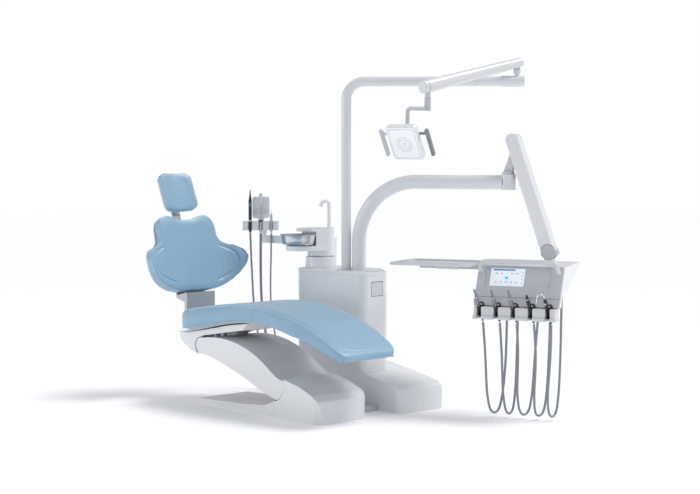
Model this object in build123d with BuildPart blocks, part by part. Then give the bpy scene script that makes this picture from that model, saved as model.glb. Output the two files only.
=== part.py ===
"""Dental treatment unit: a lifting chair, a water unit with two masts, an operating light,
a dentist's console on a spring arm and an assistant's element.

Millimetres, +Z up. The origin is the middle of the chair base's floor face. +X points from the
head of the chair to its foot, +Y to the side where the water unit stands.
"""
from math import atan2, cos, degrees, hypot, radians, sin, tan

from build123d import *
import os

os.makedirs("parts", exist_ok=True)

# ---------------------------------------------------------------- driving dimensions
BASE_LENGTH, BASE_WIDTH = 1056, 360
SKIN = 5
PLATE = 10
SHAFT_R, FIT = 15, 0.05

LIFT_PIVOT = (150, 176)
CARRIER_PIVOT = (-498, 330)
LINK_OFFSET = (-14, -30)
ARM_WIDTH, LOWER_END_R, UPPER_END_R = 356, 86, 46

RECLINE_PIVOT = (-678, 430)
BACK_TILT, BACK_FOOT = 17.5, (-755, 640)
HEAD_TILT, HEAD_FOOT = 24, (-920, 1130)
BACK_THICK, HEAD_THICK = 72, 52

UNIT_NEAR, UNIT_FAR, UNIT_TAIL, UNIT_NOSE = 385, 735, -340, 555
COLUMN_TOP, LID_TOP = 738, 758
TURRET = (-245, 510)
TURRET_R, RING_R = 79, 93
BOWL = (-250, 338)
BOWL_R, BOWL_RIM = 100, 955

LIGHT_POST = (-10, 497)
LIGHT_POST_R, LIGHT_BEND_R, LIGHT_TUBE_Z = 28, 105, 1831
LIGHT_END = (655, 1205)
LIGHT_HINGE_Z, LIGHT_REACH, LIGHT_DIP = 1935, 660, 13.1
LIGHT_AZIMUTH = 262.7

DENTIST_POST = (53, 538)
DENTIST_POST_R, DENTIST_BEND_R, DENTIST_TUBE_Z = 40, 345, 1261
DENTIST_END = (862, 905)
SPRING_AZIMUTH, SPRING_LENGTH, SPRING_DIP = 22.5, 591.3, 71
SPRING_HINGE, SWIVEL_SETBACK = (903, 924, 1445), 45

CONSOLE_ORIGIN, CONSOLE_AZIMUTH = (1068, 786), 22.5
CONSOLE_WIDTH = 478
SLOT_PITCH = 95
HOSE_D = 13

ASSISTANT_POST = (-290, 640)
ASSISTANT_HOLDER, ROW_AZIMUTH = (-755, 470), 47.7
SUCTION_HOSES = (12, 16, 10)


def rounded_profile(points, radii):
    """A closed outline through points, each corner rounded by its own radius."""
    return FilletPolyline(*points, radius=radii, close=True)


def save(piece, name, place=Location()):
    """Labels a finished piece and writes it where it stands in the object."""
    piece.part.label = name
    export_step(piece.part.moved(place), f"parts/{name}.step")


def corner_radii(points, share=0.45):
    """The arc of each corner of a hose's route, as large as its two runs allow."""
    radii = []
    for before, corner, after in zip(points, points[1:], points[2:]):
        a, b = Vector(*corner) - Vector(*before), Vector(*after) - Vector(*corner)
        turn = radians(a.get_angle(b))
        radii.append(share * min(a.length, b.length) / tan(turn / 2))
    return radii


def polar(start, azimuth, distance):
    """The point at that distance from start, in the floor plan."""
    angle = radians(azimuth)
    return (start[0] + distance * cos(angle), start[1] + distance * sin(angle))


def azimuth_of(start, end):
    return degrees(atan2(end[1] - start[1], end[0] - start[0]))


# ---------------------------------------------------------------- chair base
SIDE = Plane.XZ
HALF_BASE = BASE_LENGTH / 2

with BuildPart() as base_frame:
    with BuildSketch():
        RectangleRounded(BASE_LENGTH - 46, BASE_WIDTH - 30, 60)
    extrude(amount=PLATE)
    with Locations((0, 0, PLATE)):
        with GridLocations(900, 270, 2, 2):
            Hole(7, PLATE)
    for side in (-1, 1):
        with BuildSketch(SIDE.offset(side * 126)) as pedestal:
            with BuildLine():
                Polyline((95, PLATE), (235, PLATE), (176, 165), (124, 165), (95, PLATE))
            make_face()
            with Locations(LIFT_PIVOT):
                Circle(26)
                Circle(SHAFT_R + FIT, mode=Mode.SUBTRACT)
        extrude(amount=6, both=True)
    for side in (-1, 1):
        with BuildSketch(SIDE.offset(side * 26)):
            with BuildLine():
                Polyline((110, PLATE), (165, PLATE), (150, 146), (122, 146), (110, PLATE))
            make_face()
            with Locations((LIFT_PIVOT[0] + LINK_OFFSET[0], LIFT_PIVOT[1] + LINK_OFFSET[1])):
                Circle(14)
        extrude(amount=6, both=True)
    with BuildSketch(SIDE):
        with Locations((LIFT_PIVOT[0] + LINK_OFFSET[0], LIFT_PIVOT[1] + LINK_OFFSET[1])):
            Circle(6)
    extrude(amount=30, both=True)
save(base_frame, "base_frame")

with BuildPart() as lift_pivot_shaft:
    with BuildSketch(SIDE):
        with Locations(LIFT_PIVOT):
            Circle(SHAFT_R)
    extrude(amount=138, both=True)
save(lift_pivot_shaft, "lift_pivot_shaft")

REAR_TOP = [(-HALF_BASE, 0), (-HALF_BASE, 29), (-140, 40), (70, 54), (149, 82), (149, 0)]
with BuildPart() as base_rear_cover:
    with BuildSketch(SIDE):
        with BuildLine():
            rounded_profile(REAR_TOP, [0.5, 8, 200, 60, 4, 0.5])
        make_face()
    extrude(amount=BASE_WIDTH / 2, both=True)
    with BuildSketch(SIDE):
        with BuildLine():
            Polyline((4 - HALF_BASE, -1), (4 - HALF_BASE, 24), (-140, 35), (72, 49), (149, 77),
                     (160, 77), (160, -1), close=True)
        make_face()
    extrude(amount=BASE_WIDTH / 2 - SKIN, both=True, mode=Mode.SUBTRACT)
    with BuildSketch(Plane.XY.offset(30)):
        with Locations((128, 0)):
            Rectangle(70, 280)
    extrude(amount=80, mode=Mode.SUBTRACT)
save(base_rear_cover, "base_rear_cover")

NOSE_OUTLINE = [(150, 0), (HALF_BASE, 0), (503, 116), (470, 147), (370, 184), (234, 213),
                (150, 230)]
NOSE_INNER = [(142, -1), (522, -1), (498, 113), (467, 142), (369, 179), (234, 207), (142, 228)]


def nose_solid(outline, radii, half_width):
    """The front cover's block: its side outline, with the front corners rounded in plan."""
    with BuildPart() as block:
        with BuildSketch(SIDE):
            with BuildLine():
                rounded_profile(outline, radii)
            make_face()
        extrude(amount=half_width, both=True)
        with BuildSketch():
            with BuildLine():
                nose = outline[1][0]
                Polyline((140, -half_width), (nose - 40, -half_width), (nose, 40 - half_width),
                         (nose, half_width - 40), (nose - 40, half_width), (140, half_width),
                         close=True)
            make_face()
            fillet(vertices().sort_by(Axis.X)[-4:], 45)
        extrude(amount=600, both=True, mode=Mode.INTERSECT)
    return block.part


with BuildPart() as base_front_cover:
    add(nose_solid(NOSE_OUTLINE, [0.5, 0.5, 26, 30, 120, 200, 0.5], BASE_WIDTH / 2))
    add(nose_solid(NOSE_INNER, [0.5, 0.5, 22, 26, 120, 200, 0.5], BASE_WIDTH / 2 - SKIN),
        mode=Mode.SUBTRACT)
    with BuildSketch(SIDE):
        with Locations(LIFT_PIVOT):
            Circle(LOWER_END_R + 3.5)
        with BuildLine():
            Polyline((100, 176), (239, 176), (234, 240), (100, 300), close=True)
        make_face()
    extrude(amount=BASE_WIDTH, both=True, mode=Mode.SUBTRACT)
save(base_front_cover, "base_front_cover")

with BuildPart() as lift_motor:
    with BuildSketch(Plane.YZ.offset(330)):
        with Locations((0, 66)):
            Circle(42)
    extrude(amount=130)
    with BuildSketch(Plane.XY.offset(PLATE)):
        with Locations((385, 0)):
            Rectangle(110, 60)
    extrude(amount=22)
    with BuildSketch(Plane.YZ.offset(255)):
        with Locations((0, 66)):
            Circle(14)
    extrude(amount=75)
save(lift_motor, "lift_motor")

# ---------------------------------------------------------------- lift arm
ARM_TOP = [(-490, 375.5), (-285, 385), (-98, 352), (85, 270), (190, 212), (231.5, 203)]
ARM_BOTTOM = [(178, 94.7), (50, 129), (-99, 185), (-234, 227), (-372, 267), (-498, 284)]

with BuildPart() as lift_arm_cover:
    with BuildSketch(SIDE):
        with BuildLine():
            Spline(*ARM_TOP)
            ThreePointArc(ARM_TOP[-1], (227.3, 138.3), ARM_BOTTOM[0])
            Spline(*ARM_BOTTOM)
            ThreePointArc(ARM_BOTTOM[-1], (CARRIER_PIVOT[0] - UPPER_END_R, CARRIER_PIVOT[1]),
                          ARM_TOP[0])
        make_face()
    extrude(amount=ARM_WIDTH / 2, both=True)
    with BuildSketch(SIDE):
        with BuildLine():
            Spline(*[(x, z - SKIN) for x, z in ARM_TOP[:-1]])
            Polyline((190, 207), (262, 190), (262, 40), (-600, 190), (-600, 372), (-490, 370.5))
        make_face()
        with Locations((-510, 370)):
            Rectangle(110, 120)
    extrude(amount=ARM_WIDTH / 2 - SKIN, both=True, mode=Mode.SUBTRACT)
save(lift_arm_cover, "lift_arm_cover")

ARM_RISE = CARRIER_PIVOT[1] - LIFT_PIVOT[1]
ARM_RUN = CARRIER_PIVOT[0] - LIFT_PIVOT[0]
with BuildPart() as lift_arm_frame:
    for side in (-1, 1):
        with BuildSketch(SIDE.offset(side * 95)):
            with BuildLine():
                Polyline((148, 197), (148, 155), (-100, 214), (-300, 262), (-498, 307),
                         (-498, 353), (-290, 350), (-100, 314), (30, 262), close=True)
            make_face()
            with Locations(LIFT_PIVOT):
                Circle(24)
                Circle(SHAFT_R + FIT, mode=Mode.SUBTRACT)
            with Locations(CARRIER_PIVOT):
                Circle(24)
        extrude(amount=6, both=True)
    with BuildSketch(SIDE):
        with Locations((-60, 285), (-290, 330)):
            Circle(14)
    extrude(amount=100, both=True)
    with BuildSketch(SIDE):
        with Locations(CARRIER_PIVOT):
            Circle(SHAFT_R)
    extrude(amount=138, both=True)
save(lift_arm_frame, "lift_arm_frame")


LINK_LOW = (LIFT_PIVOT[0] + LINK_OFFSET[0], LIFT_PIVOT[1] + LINK_OFFSET[1])
LINK_HIGH = (CARRIER_PIVOT[0] + LINK_OFFSET[0], CARRIER_PIVOT[1] + LINK_OFFSET[1])
with BuildPart() as levelling_link:
    with BuildSketch(SIDE):
        with Locations(LINK_LOW, LINK_HIGH):
            Circle(9)
        make_hull()
        with Locations(LINK_LOW, LINK_HIGH):
            Circle(13)
        with Locations(LINK_LOW):
            Circle(6 + FIT, mode=Mode.SUBTRACT)
        with Locations(LINK_HIGH):
            Circle(8, mode=Mode.SUBTRACT)
    extrude(amount=8, both=True)
save(levelling_link, "levelling_link")

# ---------------------------------------------------------------- seat
with BuildPart() as seat_carrier_cover:
    with BuildSketch(SIDE):
        with BuildLine():
            Polyline((-508, 281), (-535, 282), (-621, 311), (-679, 347), (-702, 400),
                     (-650, 392), (-504, 416), (-372, 440), (-243, 465), (-68, 488),
                     (-103, 448), (-264, 424), (-440, 396), (-458, 394), (-507, 379))
            ThreePointArc((-508, 281), (-548, 330), (-507, 379))
        make_face()
    extrude(amount=182, both=True)
    with BuildSketch(SIDE):
        with BuildLine():
            Polyline((-695, 560), (-695, 402), (-673, 352), (-618, 318), (-547, 290),
                     (-547, 262), (-440, 262), (-440, 402), (-264, 430), (-103, 454),
                     (-74, 484), (-74, 560), close=True)
        make_face()
    extrude(amount=176, both=True, mode=Mode.SUBTRACT)
save(seat_carrier_cover, "seat_carrier_cover")

UNDERSIDE = [(-640, 405), (-504, 428), (-243, 480), (-64, 501), (67, 503), (194, 489),
             (319, 462), (440, 431), (559, 391), (668, 350)]
with BuildPart() as seat_frame:
    with BuildSketch(SIDE):
        with BuildLine():
            upper = Spline(*UNDERSIDE)
            lower = Spline(*[(x, z - 8) for x, z in UNDERSIDE])
            Line(upper @ 0, lower @ 0)
            Line(upper @ 1, lower @ 1)
        make_face()
    extrude(amount=200, both=True)
    with Locations((0, 0, 0)):
        with BuildSketch():
            with Locations((540, 0)):
                Rectangle(400, 500)
            with Locations((540, 0)):
                Rectangle(400, 320, mode=Mode.SUBTRACT)
        extrude(amount=700, mode=Mode.SUBTRACT)
    for side in (-1, 1):
        with BuildSketch(SIDE.offset(side * 126)):
            with BuildLine():
                Polyline((-522, 330), (-474, 330), (-440, 436), (-500, 425), (-560, 416),
                         close=True)
            make_face()
            with Locations(CARRIER_PIVOT):
                Circle(24)
                Circle(SHAFT_R + FIT, mode=Mode.SUBTRACT)
        extrude(amount=6, both=True)
        with BuildSketch(SIDE.offset(side * 110)):
            with BuildLine():
                Polyline((-694, 430), (-662, 430), (-652, 397), (-600, 405), (-600, 380),
                         (-660, 376), close=True)
            make_face()
            with Locations(RECLINE_PIVOT):
                Circle(16)
        extrude(amount=6, both=True)
        with BuildSketch(SIDE.offset(side * 26)):
            with BuildLine():
                Polyline((-522, 300), (-503, 303), (-518, 322), (-519, 345), (-522, 421),
                         (-562, 414), close=True)
            make_face()
            with Locations(LINK_HIGH):
                Circle(10)
        extrude(amount=6, both=True)
    with BuildSketch(SIDE):
        with Locations(RECLINE_PIVOT):
            Circle(8)
    extrude(amount=112, both=True)
    with BuildSketch(SIDE):
        with Locations(LINK_HIGH):
            Circle(5)
    extrude(amount=30, both=True)
save(seat_frame, "seat_frame")

SEAT_TOP = [(-650, 452), (-598, 520), (-474, 553), (-334, 573), (-152, 592), (-20, 596),
            (152, 585), (319, 556), (481, 506), (620, 443), (720, 388)]
with BuildPart() as seat_cushion:
    with BuildSketch(SIDE):
        with BuildLine():
            crown = Spline(*SEAT_TOP)
            under = Spline(*UNDERSIDE)
            ThreePointArc(crown @ 0, (-656, 425), under @ 0)
            ThreePointArc(crown @ 1, (737, 358), (718, 331))
            Line((718, 331), under @ 1)
        make_face()
    extrude(amount=300, both=True)
    with BuildSketch():
        with BuildLine():
            half = [(-660, 0), (-655, 150), (-620, 232), (-540, 264), (-400, 273), (-100, 270),
                    (200, 254), (450, 236), (620, 222), (690, 209), (735, 172), (758, 90), (762, 0)]
            Spline(*half, *[(x, -y) for x, y in reversed(half[1:-1])], periodic=True)
        make_face()
    extrude(amount=800, mode=Mode.INTERSECT)
save(seat_cushion, "seat_cushion")

# ---------------------------------------------------------------- backrest
UP = (-sin(radians(BACK_TILT)), 0, cos(radians(BACK_TILT)))
BACK_ORIGIN = (BACK_FOOT[0], 0, BACK_FOOT[1])
FACE = Plane(BACK_ORIGIN, x_dir=(0, 1, 0), z_dir=(-UP[0] * 0 + UP[2], 0, -UP[0]))
SECTION = Plane(BACK_ORIGIN, x_dir=(0, 1, 0), z_dir=(-UP[0], 0, -UP[2]))
WING = [0, 120, 200, 260, 310, 352]
BACK_HALF = [(110, -18), (200, 0), (275, 40), (325, 90), (350, 150), (335, 205), (285, 248),
             (228, 275), (212, 300), (208, 350), (196, 405), (165, 440), (110, 446), (60, 428)]


def wing_curve(offset):
    """The cross section's line across the backrest, its wings swept forward."""
    half = [(y, 98 * (y / 349) ** 4 + offset) for y in WING]
    return Spline(*[(-y, n) for y, n in reversed(half[1:])], *half)


def back_slab(front, back, shrink):
    """A slice of the backrest between two depths, its outline shrunk about its middle."""
    with BuildPart() as slab:
        with BuildSketch(SECTION):
            with BuildLine():
                near = wing_curve(front)
                far = wing_curve(back)
                Line(near @ 0, far @ 0)
                Line(near @ 1, far @ 1)
            make_face()
        extrude(amount=600, both=True)
        with BuildSketch(FACE):
            with BuildLine():
                half = [(y * shrink, 200 + (s - 200) * shrink) for y, s in BACK_HALF]
                Spline((0, 200 - 220 * shrink), *half, (0, 200 + 220 * shrink),
                       *[(-y, s) for y, s in reversed(half)], periodic=True)
            make_face()
        extrude(amount=200, both=True, mode=Mode.INTERSECT)
    return slab.part


with BuildPart() as backrest_cushion:
    add(back_slab(0, -BACK_THICK, 1))
save(backrest_cushion, "backrest_cushion")

with BuildPart() as backrest_shell:
    add(back_slab(-BACK_THICK, -BACK_THICK - 12, 0.955))
save(backrest_shell, "backrest_shell")


def at_back(s, n):
    """A point (X, Z) given by its height up the backrest and its distance forward."""
    return (BACK_FOOT[0] + s * UP[0] + n * UP[2], BACK_FOOT[1] + s * UP[2] - n * UP[0])


SHELL_BACK = -BACK_THICK - 12.1
with BuildPart() as backrest_bracket:
    with BuildSketch(SIDE):
        with BuildLine():
            Polyline(at_back(-24, SHELL_BACK), at_back(250, SHELL_BACK),
                     at_back(250, SHELL_BACK - 10), at_back(-36, SHELL_BACK - 12),
                     (-757, 556), (-757, 476), (-692, 422), (-668, 436), (-733, 488),
                     (-733, 613), (-747, 613), close=True)
        make_face()
        with Locations(RECLINE_PIVOT):
            Circle(16)
            Circle(8 + FIT, mode=Mode.SUBTRACT)
    extrude(amount=102, both=True)
save(backrest_bracket, "backrest_bracket")

# ---------------------------------------------------------------- headrest
HEAD_HINGE = (-988, 1100)
with BuildPart() as headrest_bar:
    with BuildSketch(SIDE):
        with BuildLine():
            Polyline(at_back(290, SHELL_BACK - 2), at_back(290, SHELL_BACK - 10),
                     (-999, 1092), (-990, 1105), close=True)
        make_face()
    extrude(amount=30, both=True)
    with BuildSketch(SIDE):
        with Locations(HEAD_HINGE):
            Circle(9)
    extrude(amount=30, both=True)
    with BuildSketch(SIDE):
        with Locations(HEAD_HINGE):
            Circle(5)
    extrude(amount=46, both=True)
save(headrest_bar, "headrest_bar")

HEAD_N = (cos(radians(HEAD_TILT)), 0, sin(radians(HEAD_TILT)))
HEAD_UP = (-HEAD_N[2], 0, HEAD_N[0])
HEAD_ORIGIN = (HEAD_FOOT[0], 0, HEAD_FOOT[1])
HEAD_FACE = Plane(HEAD_ORIGIN, x_dir=(0, 1, 0), z_dir=HEAD_N)
HEAD_SECTION = Plane(HEAD_ORIGIN, x_dir=(0, 1, 0), z_dir=(-HEAD_UP[0], 0, -HEAD_UP[2]))


def head_slab(front, back, inset):
    """A slice of the headrest pad, hollowed across its width."""
    with BuildPart() as slab:
        with BuildSketch(HEAD_SECTION):
            with BuildLine():
                near = Spline((-120, front), (-60, front - 17), (0, front - 22),
                              (60, front - 17), (120, front))
                far = Spline((-120, back), (-60, back - 10), (0, back - 14),
                             (60, back - 10), (120, back))
                Line(near @ 0, far @ 0)
                Line(near @ 1, far @ 1)
            make_face()
        extrude(amount=300, both=True)
        with BuildSketch(HEAD_FACE):
            with Locations((0, 77)):
                RectangleRounded(230 - 2 * inset, 246 - 2 * inset, 46 - inset)
        extrude(amount=120, both=True, mode=Mode.INTERSECT)
    return slab.part


with BuildPart() as headrest_cushion:
    add(head_slab(22, 22 - HEAD_THICK, 0))
save(headrest_cushion, "headrest_cushion")


def at_head(s, n):
    """A point (X, Z) given by its height up the headrest and its distance forward."""
    return (HEAD_FOOT[0] + s * HEAD_UP[0] + n * HEAD_N[0],
            HEAD_FOOT[1] + s * HEAD_UP[2] + n * HEAD_N[2])


with BuildPart() as headrest_shell:
    with BuildSketch(HEAD_SECTION):
        with BuildLine():
            rim = 22 - HEAD_THICK
            seat_line = Spline((-120, rim), (-60, rim - 10), (0, rim - 14), (60, rim - 10),
                               (120, rim))
            Polyline((-120, rim), (-112, rim - 12), (-60, rim - 22), (60, rim - 22),
                     (112, rim - 12), (120, rim))
        make_face()
    extrude(amount=300, both=True)
    with BuildSketch(HEAD_FACE):
        with Locations((0, 77)):
            RectangleRounded(206, 222, 36)
    extrude(amount=120, both=True, mode=Mode.INTERSECT)
    for side in (-1, 1):
        with BuildSketch(SIDE.offset(side * 38)):
            with Locations(HEAD_HINGE):
                Circle(12)
            with BuildLine():
                Polyline((-996, 1092), (-980, 1110), at_head(40, rim - 20),
                         at_head(-20, rim - 20), close=True)
            make_face()
            with Locations(HEAD_HINGE):
                Circle(5 + FIT, mode=Mode.SUBTRACT)
        extrude(amount=6, both=True)
save(headrest_shell, "headrest_shell")

# ---------------------------------------------------------------- water unit
UNIT_TOP = [(UNIT_TAIL, 240), (108, 220), (233, 198), (396, 169), (500, 146), (530, 125),
            (546, 60), (UNIT_NOSE, 0)]
UNIT_INNER = [(-336, 236), (108, 216), (232, 194), (395, 165), (497, 142), (526, 122),
              (542, 60), (551, -1), (-336, -1)]
UNIT_MID = (UNIT_NEAR + UNIT_FAR) / 2
UNIT_DEPTH = UNIT_FAR - UNIT_NEAR


def unit_plan(inset):
    """The base's plan outline, its two front corners rounded."""
    with BuildSketch() as plan:
        with Locations(((UNIT_NOSE + UNIT_TAIL) / 2, UNIT_MID)):
            Rectangle(UNIT_NOSE - UNIT_TAIL - 2 * inset, UNIT_DEPTH - 2 * inset)
        fillet(plan.vertices().group_by(Axis.X)[-1], 48 - inset)
    return plan.sketch


def unit_block(outline, inset):
    """The base as a block: its side outline over its plan."""
    with BuildPart() as block:
        with BuildSketch(Plane.XZ.offset(-UNIT_MID)):
            with BuildLine():
                Polyline(*outline, close=True)
            make_face()
        extrude(amount=UNIT_DEPTH / 2, both=True)
        with BuildSketch():
            add(unit_plan(inset))
        extrude(amount=400, both=True, mode=Mode.INTERSECT)
    return block.part


with BuildPart() as unit_base_cover:
    add(unit_block([*UNIT_TOP, (UNIT_TAIL, 0)], 0))
    add(unit_block(UNIT_INNER, 4), mode=Mode.SUBTRACT)
    with BuildSketch(Plane.XY.offset(180)):
        with Locations((-90, 527)):
            Rectangle(480, 226)
    extrude(amount=100, mode=Mode.SUBTRACT)
save(unit_base_cover, "unit_base_cover")

COLUMN_PLAN = [(-340, 385), (250, 385), (250, 575), (60, 715), (-340, 715)]
COLUMN_INNER = [(-336, 389), (246, 389), (246, 573), (58.5, 711), (-336, 711)]
with BuildPart() as unit_column_cover:
    with BuildSketch(Plane.XY.offset(150)):
        with BuildLine():
            FilletPolyline(*COLUMN_PLAN, radius=[60, 45, 60, 90, 60], close=True)
        make_face()
    extrude(amount=COLUMN_TOP - 150)
    with BuildSketch(Plane.XY.offset(150)):
        with BuildLine():
            FilletPolyline(*COLUMN_INNER, radius=[56, 41, 56, 86, 56], close=True)
        make_face()
    extrude(amount=COLUMN_TOP - 150, mode=Mode.SUBTRACT)
    with BuildSketch(Plane.XZ.offset(-UNIT_MID)):
        with BuildLine():
            Polyline(*UNIT_TOP, (UNIT_TAIL, 0), close=True)
        make_face()
    extrude(amount=UNIT_DEPTH, both=True, mode=Mode.SUBTRACT)
    with Locations((248, 496, 661)):
        Box(20, 90, 82, mode=Mode.SUBTRACT)
save(unit_column_cover, "unit_column_cover")

with BuildPart() as service_hatch:
    with Locations((248.8, 496, 661)):
        Box(2.4, 85, 77)
    with Locations((243.6, 496, 661)):
        Box(8, 60, 55)
save(service_hatch, "service_hatch")

with BuildPart() as column_top_cover:
    with BuildSketch(Plane.XY.offset(COLUMN_TOP)):
        with BuildLine():
            FilletPolyline(*COLUMN_PLAN, radius=[60, 45, 60, 90, 60], close=True)
        make_face()
    extrude(amount=LID_TOP - COLUMN_TOP)
    fillet(column_top_cover.faces().sort_by(Axis.Z)[-1].edges(), 8)
    with BuildSketch(Plane.XY.offset(COLUMN_TOP)):
        with Locations(LIGHT_POST):
            Circle(LIGHT_POST_R + 1)
        with Locations(DENTIST_POST):
            Circle(DENTIST_POST_R + 1)
    extrude(amount=40, mode=Mode.SUBTRACT)
    with BuildSketch(Plane.XY.offset(LID_TOP - 1)):
        with Locations(ASSISTANT_POST):
            Circle(26)
    extrude(amount=118)
    with BuildSketch(Plane.XY.offset(LID_TOP + 117)):
        with Locations(ASSISTANT_POST):
            Circle(14)
    extrude(amount=50)
save(column_top_cover, "column_top_cover")

with BuildPart() as unit_frame:
    with BuildSketch():
        with Locations((-60, 550)):
            Rectangle(500, 240)
    extrude(amount=8)
    with BuildSketch():
        with Locations((-56, 522), (112, 522)):
            Rectangle(20, 130)
    extrude(amount=700)
    with BuildSketch(Plane.XY.offset(560)):
        with Locations((28, 522)):
            Rectangle(188, 150)
        with Locations(LIGHT_POST):
            Circle(LIGHT_POST_R + FIT, mode=Mode.SUBTRACT)
        with Locations(DENTIST_POST):
            Circle(DENTIST_POST_R + FIT, mode=Mode.SUBTRACT)
    extrude(amount=140)
    with BuildSketch(Plane.XY.offset(545)):
        with Locations((28, 522)):
            Rectangle(188, 150)
    extrude(amount=14.9)
    with BuildSketch(Plane.XY.offset(8)):
        with Locations((-250, 560)):
            Rectangle(130, 130)
    extrude(amount=420)
save(unit_frame, "unit_frame")

with BuildPart() as connection_duct:
    with BuildSketch(Plane.XZ.offset(-BASE_WIDTH / 2)):
        with Locations((289, 17.5)):
            RectangleRounded(178, 35, 8)
            RectangleRounded(170, 27, 5, mode=Mode.SUBTRACT)
    extrude(amount=-(UNIT_NEAR - BASE_WIDTH / 2))
save(connection_duct, "connection_duct")

# ---------------------------------------------------------------- turret and bowl
with BuildPart() as turret_base:
    with BuildSketch(Plane.XY.offset(LID_TOP)):
        with Locations(TURRET):
            Circle(RING_R)
    extrude(amount=66, taper=4)
    with BuildSketch(Plane.XY.offset(820)):
        with Locations(TURRET):
            Circle(30)
    extrude(amount=60)
save(turret_base, "turret_base")


def bridge(bottom, top, reach, radius):
    """A block running from the turret out over a point in front of it."""
    with BuildPart() as block:
        with BuildSketch(Plane.XY.offset(bottom)):
            with Locations(TURRET):
                Circle(TURRET_R)
            with Locations((TURRET[0] - 2, TURRET[1] - reach)):
                Circle(radius)
            make_hull()
        extrude(amount=top - bottom)
    return block.part


with BuildPart() as turret_housing:
    add(bridge(826, 991, 0.5, TURRET_R))
    add(bridge(862, 890, 172, 72))
    add(bridge(862, 991, 100, 66))
    with BuildSketch(Plane.XY.offset(890)):
        with Locations(BOWL):
            Circle(BOWL_R + 5)
    extrude(amount=82, mode=Mode.SUBTRACT)
    with BuildSketch(Plane.XY.offset(820)):
        with Locations(TURRET):
            Circle(30 + FIT)
    extrude(amount=62, mode=Mode.SUBTRACT)
save(turret_housing, "turret_housing")

with BuildPart() as spittoon_bowl:
    with BuildSketch(Plane.XZ.offset(-BOWL[1])):
        with BuildLine():
            rim_out = (BOWL[0] + BOWL_R, BOWL_RIM)
            ThreePointArc(rim_out, (BOWL[0] + 78, 912), (BOWL[0] + 16, 896))
            Polyline((BOWL[0] + 16, 896), (BOWL[0] + 16, 892), (BOWL[0] + 22, 892))
            ThreePointArc((BOWL[0] + 22, 892), (BOWL[0] + 83, 910), (BOWL[0] + 104, BOWL_RIM))
            Line((BOWL[0] + 104, BOWL_RIM), rim_out)
        make_face()
    revolve(axis=Axis((BOWL[0], BOWL[1], 0), (0, 0, 1)))
    with BuildSketch(Plane.XY.offset(890)):
        with Locations(BOWL):
            Circle(17)
    extrude(amount=5)
save(spittoon_bowl, "spittoon_bowl")

SPOUT = (-213, 545)
with BuildPart() as cup_filler_spout:
    with BuildLine():
        FilletPolyline((*SPOUT, 991), (*SPOUT, 1134), (*polar(SPOUT, 227.7, 36), 1136),
                       (*polar(SPOUT, 227.7, 50), 1116), radius=[14, 10])
    with BuildSketch(Plane.XY.offset(991)):
        with Locations(SPOUT):
            Circle(10)
    sweep()
save(cup_filler_spout, "cup_filler_spout")

# ---------------------------------------------------------------- operating light
TUBE_FOOT_Z = 560


def mast(foot, end, height, radius, wall, bend, overrun):
    """A post that turns over into a level tube ending past a point."""
    tip = polar(end, azimuth_of(foot, end), overrun)
    with BuildPart() as tube:
        with BuildLine():
            FilletPolyline((*foot, TUBE_FOOT_Z), (*foot, height), (*tip, height),
                           radius=[bend])
        with BuildSketch(Plane.XY.offset(TUBE_FOOT_Z)):
            with Locations(foot):
                Circle(radius)
                Circle(radius - wall, mode=Mode.SUBTRACT)
        sweep()
    return tube.part


LIGHT_TUBE_AZ = azimuth_of(LIGHT_POST, LIGHT_END)
with BuildPart() as light_post:
    add(mast(LIGHT_POST, LIGHT_END, LIGHT_TUBE_Z, LIGHT_POST_R, 3, LIGHT_BEND_R, 0))
    sleeve_start = (*polar(LIGHT_END, LIGHT_TUBE_AZ, -85), LIGHT_TUBE_Z)
    with BuildSketch(Plane(sleeve_start, z_dir=(*polar((0, 0), LIGHT_TUBE_AZ, 1), 0))):
        Circle(32)
        Circle(LIGHT_POST_R - 3, mode=Mode.SUBTRACT)
    extrude(amount=85)
    with BuildSketch(Plane((*LIGHT_END, LIGHT_TUBE_Z),
                           z_dir=(*polar((0, 0), LIGHT_TUBE_AZ, 1), 0))):
        Circle(32)
    extrude(amount=40)
    with BuildSketch(Plane.XY.offset(LIGHT_TUBE_Z)):
        with Locations(LIGHT_END):
            Circle(11)
    extrude(amount=62)
save(light_post, "light_post")

LIGHT_DIR = polar((0, 0), LIGHT_AZIMUTH, 1)
LIGHT_ACROSS = (-LIGHT_DIR[1], LIGHT_DIR[0], 0)
LIGHT_HINGE = (*LIGHT_END, LIGHT_HINGE_Z)
UPRIGHT = Plane(LIGHT_HINGE, x_dir=(*LIGHT_DIR, 0), z_dir=(LIGHT_DIR[1], -LIGHT_DIR[0], 0))
with BuildPart() as light_arm_pivot:
    with BuildSketch(Plane.XY.offset(1872)):
        with Locations(LIGHT_END):
            Circle(20)
    extrude(amount=23.5)
    with BuildSketch(UPRIGHT):
        Circle(12)
        with BuildLine():
            Polyline((-12, 0), (-17, -41), (17, -41), (12, 0), close=True)
        make_face()
    extrude(amount=10, both=True)
    with BuildSketch(UPRIGHT):
        Circle(8)
    extrude(amount=22, both=True)
    with BuildSketch(Plane.XY.offset(1870)):
        with Locations(LIGHT_END):
            Circle(11 + FIT)
    extrude(amount=23.5, mode=Mode.SUBTRACT)
save(light_arm_pivot, "light_arm_pivot")

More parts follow.
